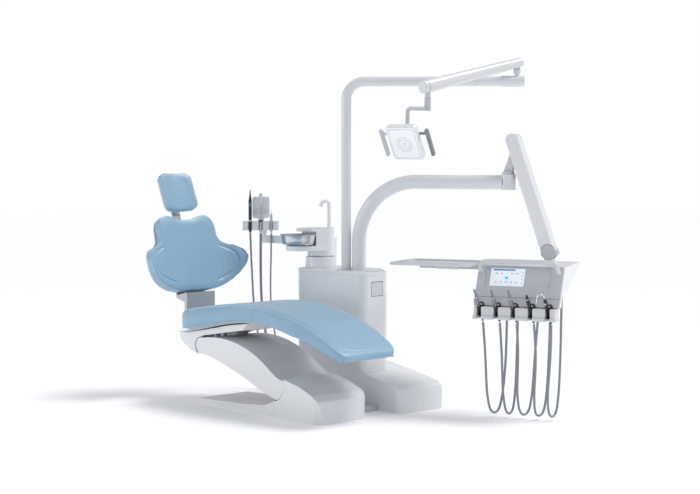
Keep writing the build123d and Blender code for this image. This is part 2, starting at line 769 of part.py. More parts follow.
LIGHT_LONG = (LIGHT_DIR[0] * cos(radians(LIGHT_DIP)), LIGHT_DIR[1] * cos(radians(LIGHT_DIP)),
              -sin(radians(LIGHT_DIP)))
LIGHT_ARM = Plane(LIGHT_HINGE, x_dir=LIGHT_LONG, z_dir=(LIGHT_DIR[1], -LIGHT_DIR[0], 0))
with BuildPart() as light_arm:
    with BuildSketch(Plane.XZ):
        with BuildLine():
            Polyline((-34, 0), (-34, 20), (-28, 27), (640, 37), (688, 37), (700, 32),
                     (700, 0), close=True)
        make_face()
    revolve(axis=Axis.X)
    with BuildSketch(Plane.XZ):
        Circle(17)
        with BuildLine():
            Polyline((-34, -60), (-24, 0), (14, 0), (70, -60), close=True)
        make_face()
    extrude(amount=12, both=True, mode=Mode.SUBTRACT)
    with BuildSketch(Plane.XZ):
        Circle(8 + FIT)
    extrude(amount=22.5, both=True, mode=Mode.SUBTRACT)
    with BuildSketch(Plane.XZ):
        with Locations((LIGHT_REACH, 0)):
            Circle(20)
        with BuildLine():
            Polyline((LIGHT_REACH - 26, -60), (LIGHT_REACH - 18, 0), (LIGHT_REACH + 18, 0),
                     (LIGHT_REACH + 34, -60), close=True)
        make_face()
    extrude(amount=14, both=True, mode=Mode.SUBTRACT)
    with BuildSketch(Plane.XZ):
        with Locations((LIGHT_REACH, 0)):
            Circle(8)
    extrude(amount=20, both=True)
LIGHT_PLACE = Plane(LIGHT_HINGE, x_dir=LIGHT_LONG,
                    z_dir=(LIGHT_DIR[0] * sin(radians(LIGHT_DIP)),
                           LIGHT_DIR[1] * sin(radians(LIGHT_DIP)),
                           cos(radians(LIGHT_DIP)))).location
save(light_arm, "light_arm", LIGHT_PLACE)

LEVEL_HINGE = Vector(*LIGHT_HINGE) + Vector(*LIGHT_LONG) * LIGHT_REACH
YOKE_AXIS = (LEVEL_HINGE.X, LEVEL_HINGE.Y)
LEVEL_PLANE = Plane(LEVEL_HINGE, x_dir=(*LIGHT_DIR, 0),
                    z_dir=(LIGHT_DIR[1], -LIGHT_DIR[0], 0))
with BuildPart() as light_knuckle:
    with BuildSketch(LEVEL_PLANE):
        Circle(16)
        with BuildLine():
            Polyline((-12, 0), (-12, -52), (12, -52), (12, 0), close=True)
        make_face()
        Circle(8 + FIT, mode=Mode.SUBTRACT)
    extrude(amount=11, both=True)
    with BuildSketch(Plane.XY.offset(LEVEL_HINGE.Z - 60)):
        with Locations(YOKE_AXIS):
            Circle(16)
    extrude(amount=11)
    with BuildSketch(Plane.XY.offset(LEVEL_HINGE.Z - 92)):
        with Locations(YOKE_AXIS):
            Circle(9)
    extrude(amount=34)
save(light_knuckle, "light_knuckle")

YOKE_TOP = LEVEL_HINGE.Z - 61
HEAD = Plane((556, 403, 1468), x_dir=(0.957, 0.289, 0), z_dir=(0.244, -0.807, -0.538))
HEAD_PIVOT = tuple(HEAD.from_local_coords((0, 56, -83)))
with BuildPart() as light_yoke:
    with BuildSketch(Plane.XY.offset(1651)):
        with Locations(YOKE_AXIS):
            Circle(18)
    extrude(amount=YOKE_TOP - 1651)
    with BuildSketch(Plane.XY.offset(YOKE_TOP - 40)):
        with Locations(YOKE_AXIS):
            Circle(9 + FIT)
    extrude(amount=40, mode=Mode.SUBTRACT)
    with BuildLine():
        FilletPolyline((*YOKE_AXIS, 1662), (HEAD_PIVOT[0], HEAD_PIVOT[1] + 3, 1662),
                       (HEAD_PIVOT[0], HEAD_PIVOT[1], 1572), radius=[22])
    with BuildSketch(Plane((*YOKE_AXIS, 1662),
                           z_dir=(HEAD_PIVOT[0] - YOKE_AXIS[0],
                                  HEAD_PIVOT[1] + 3 - YOKE_AXIS[1], 0))):
        Circle(11)
    sweep()
    with BuildSketch(Plane(HEAD_PIVOT, z_dir=(0.957, 0.289, 0))):
        Circle(15)
    extrude(amount=14, both=True)
    with BuildSketch(Plane(HEAD_PIVOT, z_dir=(0.957, 0.289, 0))):
        Circle(6)
    extrude(amount=26, both=True)
save(light_yoke, "light_yoke")

HEAD_LOCAL = HEAD.to_local_coords(Vector(*HEAD_PIVOT))
with BuildPart() as light_head:
    with BuildSketch(Plane.XY.offset(-42)):
        RectangleRounded(186, 208, 52)
    extrude(amount=38)
    with BuildSketch(Plane.XY.offset(-42)):
        with Locations((0, 22)):
            RectangleRounded(120, 120, 45)
    extrude(amount=-16, taper=20)
    for side in (-1, 1):
        with BuildSketch(Plane.YZ.offset(side * 20)):
            with Locations((HEAD_LOCAL.Y, HEAD_LOCAL.Z)):
                Circle(12)
            with BuildLine():
                Polyline((HEAD_LOCAL.Y - 12, HEAD_LOCAL.Z), (HEAD_LOCAL.Y - 22, -50),
                         (HEAD_LOCAL.Y + 14, -50), (HEAD_LOCAL.Y + 12, HEAD_LOCAL.Z),
                         close=True)
            make_face()
            with Locations((HEAD_LOCAL.Y, HEAD_LOCAL.Z)):
                Circle(6 + FIT, mode=Mode.SUBTRACT)
        extrude(amount=5, both=True)
save(light_head, "light_head", HEAD.location)

with BuildPart() as light_lens:
    with BuildSketch(Plane.XY.offset(-4)):
        RectangleRounded(176, 198, 48)
    extrude(amount=5)
save(light_lens, "light_lens", HEAD.location)

with BuildPart() as light_handles:
    for side in (-1, 1):
        with BuildSketch(Plane.XY.offset(-44)):
            with Locations((side * 140, -12)):
                RectangleRounded(20, 168, 9)
        extrude(amount=14)
    with BuildSketch(Plane.XY.offset(-40)):
        with Locations((-118.5, 45), (118.5, 45)):
            Rectangle(51, 14)
    extrude(amount=8)
save(light_handles, "light_handles", HEAD.location)

# ---------------------------------------------------------------- dentist's mast and arm
with BuildPart() as dentist_tube:
    add(mast(DENTIST_POST, DENTIST_END, DENTIST_TUBE_Z, DENTIST_POST_R, 4, DENTIST_BEND_R,
             -25))
    with BuildSketch(Plane.XY.offset(DENTIST_TUBE_Z - 41)):
        with Locations(DENTIST_END):
            Circle(40)
            Circle(20 + FIT, mode=Mode.SUBTRACT)
    extrude(amount=86)
save(dentist_tube, "dentist_tube")

SPRING_DIR = polar((0, 0), SPRING_AZIMUTH, 1)
SPRING_UPRIGHT = Plane(SPRING_HINGE, x_dir=(*SPRING_DIR, 0),
                       z_dir=(SPRING_DIR[1], -SPRING_DIR[0], 0))
with BuildPart() as dentist_knuckle:
    with BuildSketch(Plane.XY.offset(DENTIST_TUBE_Z - 36)):
        with Locations(DENTIST_END):
            Circle(20)
    extrude(amount=90)
    with BuildSketch(Plane.XY.offset(DENTIST_TUBE_Z + 45.5)):
        with Locations(DENTIST_END):
            Circle(33)
    extrude(amount=14)
    with BuildSketch(SPRING_UPRIGHT):
        Circle(22)
        with BuildLine():
            Polyline((-20, 8), (-70, -128), (-22, -128), (20, -8), close=True)
        make_face()
    extrude(amount=16, both=True)
    with BuildSketch(SPRING_UPRIGHT):
        Circle(10)
    extrude(amount=30, both=True)
save(dentist_knuckle, "dentist_knuckle")

SPRING_COS, SPRING_SIN = cos(radians(SPRING_DIP)), sin(radians(SPRING_DIP))
SPRING_LONG = (SPRING_DIR[0] * SPRING_COS, SPRING_DIR[1] * SPRING_COS, -SPRING_SIN)
SPRING_PLACE = Plane(SPRING_HINGE, x_dir=SPRING_LONG,
                     z_dir=(SPRING_DIR[0] * SPRING_SIN, SPRING_DIR[1] * SPRING_SIN,
                            SPRING_COS)).location
with BuildPart() as dentist_arm:
    with BuildSketch(Plane.XZ):
        with Locations((266, 0)):
            SlotOverall(700, 80)
    extrude(amount=40, both=True)
    with BuildSketch(Plane.YZ.offset(-100)):
        RectangleRounded(80, 80, 17)
    extrude(amount=760, mode=Mode.INTERSECT)
    with BuildSketch(Plane.XZ):
        with Locations((230, 0)):
            SlotOverall(618, 70)
        with BuildLine():
            Polyline((-42, 0), (-42, -60), (150, -60), (150, 0), close=True)
        make_face()
    extrude(amount=34, both=True, mode=Mode.SUBTRACT)
    for side in (-1, 1):
        with BuildSketch(Plane.XZ.offset(side * 32)):
            Circle(20)
        extrude(amount=6, both=True)
        with BuildSketch(Plane.XZ.offset(side * 35)):
            with Locations((SPRING_LENGTH, 0)):
                Circle(42)
            with BuildLine():
                Polyline((SPRING_LENGTH, -60), (SPRING_LENGTH, 60), (700, 60), (700, -60),
                         close=True)
            make_face()
        extrude(amount=14, both=True, mode=Mode.SUBTRACT)
    with BuildSketch(Plane.XZ):
        Circle(10 + FIT)
    extrude(amount=32, both=True, mode=Mode.SUBTRACT)
    with BuildSketch(Plane.XZ):
        with Locations((SPRING_LENGTH, 0)):
            Circle(30)
        with BuildLine():
            Polyline((530, 28), (SPRING_LENGTH, 28), (SPRING_LENGTH, -28), (530, -28),
                     close=True)
        make_face()
        with Locations((SPRING_LENGTH, 0)):
            Circle(10 + FIT, mode=Mode.SUBTRACT)
    extrude(amount=20, both=True)
    with BuildSketch(Plane.XZ):
        with Locations((SPRING_LENGTH, 0)):
            Circle(10 + FIT)
    extrude(amount=60, both=True, mode=Mode.SUBTRACT)
save(dentist_arm, "dentist_arm", SPRING_PLACE)

# ---------------------------------------------------------------- console
CONSOLE = Location((*CONSOLE_ORIGIN, 0), (0, 0, CONSOLE_AZIMUTH))
LOW_HINGE = Vector(*SPRING_HINGE) + Vector(*SPRING_LONG) * SPRING_LENGTH
CONSOLE_FRAME = Plane((*CONSOLE_ORIGIN, 0), x_dir=(*polar((0, 0), CONSOLE_AZIMUTH, 1), 0),
                      z_dir=(0, 0, 1))
SWIVEL = tuple(CONSOLE_FRAME.to_local_coords(LOW_HINGE))[:2]
LOW_HINGE_Z = SPRING_HINGE[2] - SPRING_LENGTH * SPRING_SIN
CONSOLE_SIDE = Plane.YZ

with BuildPart() as console_knuckle:
    for side in (-1, 1):
        with BuildSketch(Plane.XZ.offset(side * 31 - SWIVEL[1])):
            with Locations((SWIVEL[0], LOW_HINGE_Z)):
                Circle(39)
        extrude(amount=9, both=True)
    with BuildSketch(Plane.XY.offset(832.5)):
        with Locations(SWIVEL):
            RectangleRounded(44, 80, 12)
    extrude(amount=18)
    with BuildSketch(Plane.XZ.offset(-SWIVEL[1])):
        with Locations((SWIVEL[0], LOW_HINGE_Z)):
            Circle(10)
    extrude(amount=36, both=True)
    with BuildSketch(Plane.XY.offset(785)):
        with Locations(SWIVEL):
            Circle(15)
    extrude(amount=55)
    with BuildSketch(Plane.YZ.offset(SWIVEL[0] + 10)):
        with Locations((SWIVEL[1] - 31, LOW_HINGE_Z)):
            Circle(6)
    extrude(amount=52)
save(console_knuckle, "console_knuckle", CONSOLE)

with BuildPart() as brake_knob:
    with BuildSketch(Plane.YZ.offset(SWIVEL[0] + 41)):
        with Locations((SWIVEL[1] - 31, LOW_HINGE_Z)):
            Circle(15)
            Circle(6 + FIT, mode=Mode.SUBTRACT)
    extrude(amount=20)
save(brake_knob, "brake_knob", CONSOLE)

HALF_CONSOLE = CONSOLE_WIDTH / 2
with BuildPart() as console_body:
    with BuildSketch(CONSOLE_SIDE):
        with BuildLine():
            Polyline((0, 815), (275, 831), (285, 818), (172, 765), (101, 716), (-45, 660),
                     (-62, 606), (-93, 604), close=True)
        make_face()
    extrude(amount=HALF_CONSOLE, both=True)
    with BuildSketch(CONSOLE_SIDE):
        with BuildLine():
            Polyline((-6, 810), (268, 825), (169, 769), (99, 721), (-41, 665), (-57, 611),
                     (-100, 611), close=True)
        make_face()
    extrude(amount=HALF_CONSOLE - 4, both=True, mode=Mode.SUBTRACT)
    with BuildSketch(Plane.XY.offset(782)):
        with Locations(SWIVEL):
            Circle(27)
    extrude(amount=43)
    with BuildSketch(Plane.XY.offset(784)):
        with Locations(SWIVEL):
            Circle(15 + FIT)
    extrude(amount=60, mode=Mode.SUBTRACT)
save(console_body, "console_body", CONSOLE)

PANEL = Plane((0, -93, 604), x_dir=(1, 0, 0), z_dir=(0, -0.915, 0.403))
with BuildPart() as console_panel:
    with BuildSketch(PANEL):
        with Locations((0, 115.5)):
            RectangleRounded(474, 228, 14)
    extrude(amount=12)
    with BuildSketch(PANEL.offset(6)):
        with Locations((-10, 168)):
            RectangleRounded(370, 114, 6)
    extrude(amount=10, mode=Mode.SUBTRACT)
save(console_panel, "console_panel", CONSOLE)

with BuildPart() as console_display:
    with BuildSketch(PANEL.offset(6)):
        with Locations((-69, 163)):
            RectangleRounded(192, 100, 4)
    extrude(amount=4)
save(console_display, "console_display", CONSOLE)

with BuildPart() as console_handle:
    with BuildLine():
        grip = FilletPolyline((-216, -27.4, 784.9), (-214, -54, 796.6), (-198, -54, 843),
                              (198, -54, 843), (214, -54, 796.6), (216, -27.4, 784.9),
                              radius=[14, 18, 18, 14])
    with BuildSketch(Plane(grip @ 0, z_dir=grip % 0)):
        Circle(9)
    sweep()
save(console_handle, "console_handle", CONSOLE)

SLOTS = [i * SLOT_PITCH for i in (-2, -1, 0, 1, 2)]
with BuildPart() as holder_blocks:
    with BuildSketch(Plane.XY.offset(556)):
        with Locations((0, -99)):
            RectangleRounded(452, 70, 10)
    extrude(amount=47.5)
    with BuildSketch(Plane.XY.offset(537)):
        with Locations((0, -101)):
            RectangleRounded(462, 78, 12)
    extrude(amount=19)
    with BuildSketch(Plane.XY.offset(530)):
        for slot in SLOTS:
            with Locations((slot - 5, -112)):
                Rectangle(25, 84)
    extrude(amount=90, mode=Mode.SUBTRACT)
save(holder_blocks, "holder_blocks", CONSOLE)

LEAN = Vector(-22, -75, 167).normalized()


def instrument_plane(slot):
    """The plane at an instrument's lower end, looking along it."""
    return Plane((slot, -79, 523), x_dir=(1, 0, 0), z_dir=LEAN)


TOOL_SHAPES = [[(0, 0), (6, 0), (6, 96), (10, 100), (10, 138), (6, 170), (6, 192), (0, 192)],
               [(0, 0), (6, 0), (6, 96), (10, 100), (9, 150), (5, 182), (5, 198), (0, 198)],
               [(0, 0), (6, 0), (6, 96), (9, 100), (9, 150), (5, 178), (5, 196), (0, 196)],
               [(0, 0), (6, 0), (6, 96), (9, 100), (9, 140), (3, 158), (3, 168), (0, 168)]]
with BuildPart() as handpieces:
    for slot, shape in zip(SLOTS, TOOL_SHAPES):
        lower = instrument_plane(slot)
        with BuildSketch(Plane(lower.origin, x_dir=lower.x_dir, z_dir=-lower.y_dir)):
            with BuildLine():
                Polyline(*shape, close=True)
            make_face()
        revolve(axis=Axis(lower.origin, lower.z_dir))
save(handpieces, "handpieces", CONSOLE)

with BuildPart() as air_water_syringe:
    lower = instrument_plane(SLOTS[4])
    with BuildSketch(Plane(lower.origin, x_dir=lower.x_dir, z_dir=-lower.y_dir)):
        with BuildLine():
            Polyline((0, 0), (6, 0), (6, 96), (10, 100), (10, 146), (4, 158), (0, 158),
                     close=True)
        make_face()
    revolve(axis=Axis(lower.origin, lower.z_dir))
    start = lower.origin + lower.z_dir * 154
    with BuildLine():
        nozzle = FilletPolyline(start, start + Vector(-4, -14, 26), start + Vector(-8, -44, 16),
                                start + Vector(-12, -56, -22), radius=[10, 14])
    with BuildSketch(Plane(nozzle @ 0, z_dir=nozzle % 0)):
        Circle(3)
    sweep()
save(air_water_syringe, "air_water_syringe", CONSOLE)

with BuildPart() as instrument_tray:
    with BuildSketch(Plane.XY.offset(812)):
        with Locations((-489.5, 52)):
            RectangleRounded(469, 378, 40)
    extrude(amount=15)
    with BuildSketch(Plane.XY.offset(815)):
        with Locations((-489.5, 52)):
            RectangleRounded(455, 364, 34)
    extrude(amount=20, mode=Mode.SUBTRACT)
    with BuildSketch(Plane.XY.offset(788)):
        with Locations((-430, 30)):
            Rectangle(120, 34)
            Rectangle(120, 22.2, mode=Mode.SUBTRACT)
    extrude(amount=25)
save(instrument_tray, "instrument_tray", CONSOLE)

with BuildPart() as tray_rail:
    with BuildSketch(Plane.XY.offset(790)):
        with Locations((-419.5, 30)):
            Rectangle(361, 22)
    extrude(amount=21.9)
save(tray_rail, "tray_rail", CONSOLE)

# ---------------------------------------------------------------- assistant's element
ROW = Location((*ASSISTANT_HOLDER, 0), (0, 0, ROW_AZIMUTH))
ROW_FRAME = Plane((*ASSISTANT_HOLDER, 0), x_dir=(*polar((0, 0), ROW_AZIMUTH, 1), 0),
                  z_dir=(0, 0, 1))
ARM_TIP = tuple(ROW_FRAME.from_local_coords((20, 68, 0)))[:2]
with BuildPart() as assistant_arm:
    with BuildSketch(Plane.XY.offset(881)):
        with Locations(ASSISTANT_POST):
            Circle(27)
        with Locations(ARM_TIP):
            Circle(20)
        make_hull()
        with Locations(ASSISTANT_POST):
            Circle(14 + FIT, mode=Mode.SUBTRACT)
    extrude(amount=46)
    with BuildSketch(Plane.XY.offset(926)):
        with Locations(ARM_TIP):
            Circle(15)
    extrude(amount=34)
save(assistant_arm, "assistant_arm")

SUCTION_X = (-64, 0, 64)
with BuildPart() as assistant_holder:
    with BuildSketch(Plane.XY.offset(960)):
        with Locations((0, 14)):
            RectangleRounded(222, 58, 12)
        for x in SUCTION_X:
            with Locations((x, -2)):
                Rectangle(26, 34, mode=Mode.SUBTRACT)
    extrude(amount=56)
    with BuildSketch(Plane.XY.offset(960)):
        with Locations((20, 59)):
            Rectangle(44, 54)
    extrude(amount=30)
    with BuildSketch(Plane.XZ.offset(-28)):
        with Locations((0, 1098)):
            RectangleRounded(104, 132, 16)
    extrude(amount=-20)
    with BuildSketch(Plane.XY.offset(1012)):
        with Locations((0, 36)):
            Rectangle(36, 14)
    extrude(amount=30)
save(assistant_holder, "assistant_holder", ROW)

SUCTION_SHAPES = [[(0, 0), (8, 0), (8, 92), (10, 96), (10, 150), (7, 200), (7, 262), (0, 262)],
                  [(0, 0), (10, 0), (10, 92), (12, 98), (12, 170), (10, 240), (0, 240)],
                  [(0, 0), (7, 0), (7, 80), (9, 84), (8, 110), (4, 140), (0, 140)]]
with BuildPart() as suction_instruments:
    for x, shape in zip(SUCTION_X, SUCTION_SHAPES):
        with BuildSketch(Plane.XZ):
            with BuildLine():
                Polyline(*[(x + r, 945 + z) for r, z in shape], close=True)
            make_face()
        revolve(axis=Axis((x, 0, 0), (0, 0, 1)))
save(suction_instruments, "suction_instruments", ROW)

# ---------------------------------------------------------------- hoses
LEVELS = [(-79, 517), (-81, 385), (-83, 250), (-80, 132), (-64, 26), (-4, 26), (14, 132),
          (18, 262), (16, 392), (14, 520), (12, 600), (10, 676)]
STRANDS = [[-190, -178, -170, -166, -150, -124, -108, -97, -91, -88, -86, -86],
           [-95, -84, -78, -75, -62, -46, -38, -34, -30, -26, -25, -25],
           [0, 10, 8, 4, 16, 44, 58, 65, 74, 86, 90, 90],
           [95, 108, 106, 98, 100, 126, 138, 144, 150, 154, 155, 155],
           [190, 190, 182, 172, 176, 196, 204, 209, 213, 215, 217, 217]]


def hose(name, points, diameter, place=Location()):
    """A hose through hand-placed points, with its bends as wide as the runs allow."""
    radii = corner_radii(points)
    with BuildPart() as tube:
        with BuildLine():
            path = FilletPolyline(*points, radius=radii)
        with BuildSketch(Plane(path @ 0, z_dir=path % 0)):
            Circle(diameter / 2)
        sweep()
    save(tube, name, place)
    length = path.length
    ideal = 3.14159265 * (diameter / 2) ** 2 * length
    print(name, "length", round(length), "radii", [round(r) for r in radii],
          "volume ratio", round(tube.part.volume / ideal, 4))


for number, xs in enumerate(STRANDS, start=1):
    route = [(x, y, z) for x, (y, z) in zip(xs, LEVELS)]
    hose(f"instrument_hose_{number}", route, HOSE_D, CONSOLE)

SUCTION_ROUTES = [
    [(-798, 423, 942), (-797, 427, 820), (-790, 430, 690), (-778, 427, 560), (-762, 430, 440),
     (-738, 436, 310), (-700, 444, 200), (-630, 456, 128), (-520, 482, 110), (-442, 500, 156),
     (-404, 510, 230), (-384, 522, 300), (-346, 536, 350)],
    [(-755, 470, 942), (-754, 468, 820), (-748, 463, 690), (-738, 459, 560), (-726, 462, 440),
     (-706, 468, 320), (-672, 478, 222), (-610, 494, 156), (-520, 518, 142), (-450, 540, 182),
     (-412, 556, 250), (-388, 566, 318), (-347, 574, 366)],
    [(-712, 517, 942), (-711, 515, 820), (-707, 507, 690), (-700, 500, 560), (-690, 502, 440),
     (-670, 508, 330), (-634, 518, 240), (-570, 530, 180), (-490, 552, 170), (-436, 574, 214),
     (-406, 594, 276), (-384, 604, 340), (-344, 612, 386)]]
for number, (route, diameter) in enumerate(zip(SUCTION_ROUTES, SUCTION_HOSES), start=1):
    hose(f"assistant_hose_{number}", route, diameter)
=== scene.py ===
"""Looks of the dental treatment unit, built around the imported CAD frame. Metres, row frame."""

from math import cos, exp, inf, pi, radians, sin, sqrt

import bmesh
import bpy
from mathutils import Matrix, Vector


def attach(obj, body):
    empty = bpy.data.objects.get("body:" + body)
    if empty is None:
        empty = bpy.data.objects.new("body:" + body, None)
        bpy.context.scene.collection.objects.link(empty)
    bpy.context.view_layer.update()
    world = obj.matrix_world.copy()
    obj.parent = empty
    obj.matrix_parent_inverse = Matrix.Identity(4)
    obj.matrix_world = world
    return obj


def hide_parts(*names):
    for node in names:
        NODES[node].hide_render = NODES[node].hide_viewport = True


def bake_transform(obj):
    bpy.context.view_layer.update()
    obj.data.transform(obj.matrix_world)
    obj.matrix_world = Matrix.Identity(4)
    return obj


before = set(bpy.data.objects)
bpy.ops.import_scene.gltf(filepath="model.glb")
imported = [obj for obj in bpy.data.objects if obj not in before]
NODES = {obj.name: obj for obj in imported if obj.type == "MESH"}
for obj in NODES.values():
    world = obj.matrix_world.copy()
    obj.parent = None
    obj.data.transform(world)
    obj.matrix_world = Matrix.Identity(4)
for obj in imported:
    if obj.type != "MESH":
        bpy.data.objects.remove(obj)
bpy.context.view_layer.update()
SCENE = bpy.context.scene
MM = 0.001


def mm(profile):
    """A lathe profile given in millimetres, in metres."""
    return [(r * MM, z * MM) for r, z in profile]


# ---------------------------------------------------------------- frames of the sub-assemblies
def upright_frame(x, y, azimuth):
    """A frame standing on the floor at (x, y), turned about the vertical."""
    return Matrix.Translation((x, y, 0)) @ Matrix.Rotation(radians(azimuth), 4, "Z")


def axes_frame(origin, x_axis, z_axis):
    """A frame at origin with its x and z axes along the given directions."""
    z = Vector(z_axis).normalized()
    x = Vector(x_axis).normalized()
    y = z.cross(x)
    turn = Matrix((x, y, z)).transposed().to_4x4()
    return Matrix.Translation(origin) @ turn


def pointing(direction):
    """A turn that takes the z axis to a direction."""
    return Vector(direction).to_track_quat("Z", "Y").to_matrix().to_4x4()


def aimed(direction):
    """The rotation of a lamp that shines along a direction."""
    return Vector(direction).to_track_quat("-Z", "Y").to_euler()


CONSOLE = upright_frame(1.068, 0.786, 22.5)     # the dentist's console
ROW = upright_frame(-0.755, 0.470, 47.7)        # the assistant's element
# the lamp's head and the backrest: z looks out of the lit or padded side
HEAD = axes_frame((0.556, 0.403, 1.468), (0.957, 0.289, 0), (0.244, -0.807, -0.538))
BACK_TILT = radians(17.5)
BACK = axes_frame((-0.755, 0, 0.640), (0, 1, 0), (cos(BACK_TILT), 0, sin(BACK_TILT)))


# ---------------------------------------------------------------- camera
CAMERA_LENS = 78.07                             # mm, on a sensor 36 mm wide
CAMERA_PLACE = (6.432, -5.336, 1.355)
CAMERA_AZIMUTH, CAMERA_DIP = 47.7, 3.085        # degrees

camera_data = bpy.data.cameras.new("camera")
camera_data.lens = CAMERA_LENS
camera_data.sensor_width = 36
camera_data.clip_end = 100
camera = bpy.data.objects.new("camera", camera_data)
camera.location = CAMERA_PLACE
camera.rotation_euler = (radians(90 - CAMERA_DIP), 0, radians(CAMERA_AZIMUTH))
SCENE.collection.objects.link(camera)
SCENE.camera = camera
SCENE.view_settings.view_transform = "Standard"


# ---------------------------------------------------------------- materials
def shade(colour, factor):
    """A colour made lighter or darker, with its alpha."""
    return tuple(min(1.0, c * factor) for c in colour) + (1.0,)


def material(name, colour, rough, metal=0.0, coat=0.0, sheen=0.0, grain=600.0, depth=0.00004,
             mottle=0.03, stretch=(1, 1, 1), pattern="noise", ior=1.5, wear=0.04):
    """A procedural finish: surface grain as bump, slow colour drift, uneven roughness."""
    mat = bpy.data.materials.new(name)
    mat.use_nodes = True
    nodes, links = mat.node_tree.nodes, mat.node_tree.links
    shader = nodes["Principled BSDF"]
    shader.inputs["Metallic"].default_value = metal
    shader.inputs["IOR"].default_value = ior
    shader.inputs["Coat Weight"].default_value = coat
    shader.inputs["Coat Roughness"].default_value = 0.12
    shader.inputs["Sheen Weight"].default_value = sheen
    shader.inputs["Sheen Roughness"].default_value = 0.4
    place = nodes.new("ShaderNodeTexCoord")
    mapping = nodes.new("ShaderNodeMapping")
    mapping.inputs["Scale"].default_value = stretch
    links.new(place.outputs["Object"], mapping.inputs["Vector"])
    fine = nodes.new("ShaderNodeTexNoise" if pattern == "noise" else "ShaderNodeTexVoronoi")
    fine.inputs["Scale"].default_value = grain
    links.new(mapping.outputs["Vector"], fine.inputs["Vector"])
    bump = nodes.new("ShaderNodeBump")
    bump.inputs["Strength"].default_value = 0.6
    bump.inputs["Distance"].default_value = depth
    links.new(fine.outputs[0], bump.inputs["Height"])
    links.new(bump.outputs["Normal"], shader.inputs["Normal"])
    slow = nodes.new("ShaderNodeTexNoise")
    slow.inputs["Scale"].default_value = 5.0
    slow.inputs["Detail"].default_value = 6.0
    links.new(place.outputs["Object"], slow.inputs["Vector"])
    ramp = nodes.new("ShaderNodeValToRGB")
    ramp.color_ramp.elements[0].position = 0.3
    ramp.color_ramp.elements[1].position = 0.7
    ramp.color_ramp.elements[0].color = shade(colour, 1 - mottle)
    ramp.color_ramp.elements[1].color = shade(colour, 1 + mottle)
    links.new(slow.outputs[0], ramp.inputs["Fac"])
    links.new(ramp.outputs["Color"], shader.inputs["Base Color"])
    spread = nodes.new("ShaderNodeMapRange")
    spread.inputs["To Min"].default_value = max(0.0, rough - wear)
    spread.inputs["To Max"].default_value = min(1.0, rough + wear)
    links.new(slow.outputs[0], spread.inputs["Value"])
    links.new(spread.outputs["Result"], shader.inputs["Roughness"])
    return mat


WHITE = material("white_shell", (0.82, 0.83, 0.85), 0.26, coat=0.4, grain=900, depth=0.00002,
                 mottle=0.012)
WARM_WHITE = material("white_enamel", (0.86, 0.87, 0.885), 0.32, coat=0.2, grain=700)
TUBE = material("tube_enamel", (0.74, 0.755, 0.78), 0.30, coat=0.3, grain=500, mottle=0.012)
GREY = material("grey_shell", (0.56, 0.575, 0.61), 0.38, coat=0.15, grain=800, mottle=0.015)
PALE_GREY = material("pale_grey_shell", (0.68, 0.695, 0.72), 0.36, coat=0.15, grain=800,
                     mottle=0.015)
SLATE = material("slate_grip", (0.24, 0.26, 0.29), 0.36, coat=0.15, grain=800, mottle=0.015)
DARK = material("black_grip", (0.025, 0.027, 0.032), 0.42, grain=1200, depth=0.00008)
SOOT = material("black_plastic", (0.012, 0.013, 0.016), 0.5, grain=900)
STEEL = material("brushed_steel", (0.60, 0.61, 0.63), 0.26, metal=1, grain=240, depth=0.00003,
                 stretch=(1, 1, 14))
CHROME = material("chrome", (0.80, 0.81, 0.83), 0.07, metal=1, grain=60, depth=0.000005,
                  mottle=0.01, wear=0.02)
GUNMETAL = material("gunmetal", (0.27, 0.275, 0.285), 0.30, metal=0.9, grain=240, depth=0.00003,
                    stretch=(1, 1, 14))
ALLOY = material("cast_alloy", (0.50, 0.51, 0.53), 0.42, metal=0.85, grain=400, depth=0.0001)
FRAME_PAINT = material("frame_paint", (0.10, 0.105, 0.115), 0.45, grain=350, depth=0.0001)
HOSE = material("hose_rubber", (0.26, 0.285, 0.32), 0.40, grain=1500, depth=0.00005,
                stretch=(1, 1, 3))
LEATHER = material("blue_leather", (0.255, 0.425, 0.575), 0.40, coat=0.08, sheen=0.3,
                   grain=420, depth=0.00018, mottle=0.03, pattern="voronoi", wear=0.05)
SCREEN = material("screen_white", (0.78, 0.84, 0.90), 0.12, coat=0.5, grain=50, depth=0.000002)
SCREEN_BLUE = material("screen_blue", (0.02, 0.11, 0.36), 0.15, grain=50, depth=0.000002)
SCREEN_CYAN = material("screen_cyan", (0.05, 0.42, 0.80), 0.15, grain=50, depth=0.000002)
REFLECTOR = material("reflector", (0.90, 0.905, 0.92), 0.30, grain=90, depth=0.0002)
LENS = material("lens_glass", (0.93, 0.94, 0.95), 0.12, ior=1.2, grain=60, depth=0.00001)
LENS.node_tree.nodes["Principled BSDF"].inputs["Alpha"].default_value = 0.12
# painted shade: a dark grey that stands in for the shade inside seams, joints and grooves
SEAM_SHADE = material("seam_shadow", (0.20, 0.21, 0.23), 0.6, grain=300, depth=0.00001)
TEAL = material("teal_band", (0.10, 0.22, 0.22), 0.4, grain=500, depth=0.00002)
SCREEN_LINE = material("screen_grey", (0.68, 0.73, 0.79), 0.15, grain=50, depth=0.000002)


def glow(mat, strength):
    """Lets a material shine a little in its own colour."""
    shader = mat.node_tree.nodes["Principled BSDF"]
    ramp = mat.node_tree.nodes["Color Ramp"]
    mat.node_tree.links.new(ramp.outputs["Color"], shader.inputs["Emission Color"])
    shader.inputs["Emission Strength"].default_value = strength


glow(SCREEN, 0.30)
# painted light: the reflector gets a faint glow in its own colour, though it gives no light of
# its own
glow(REFLECTOR, 0.16)
glow(SCREEN_BLUE, 0.5)
glow(SCREEN_CYAN, 0.6)


# ---------------------------------------------------------------- mesh helpers
SHELL_BEVEL_FROM = 30    # degrees: shallower edges of a CAD shell aren't rounded
PLATE_BEVEL_FROM = 50    # degrees: the same for a plate's edges
SHELL_CRISP_FROM = 35    # degrees: steeper edges of a CAD shell stay crisp
CRISP_FROM = 40          # degrees: the same for new pieces
MERGE = 0.00002          # metres between the corners of neighbouring CAD faces
FLAT = 0.04              # degrees within which triangles count as one face


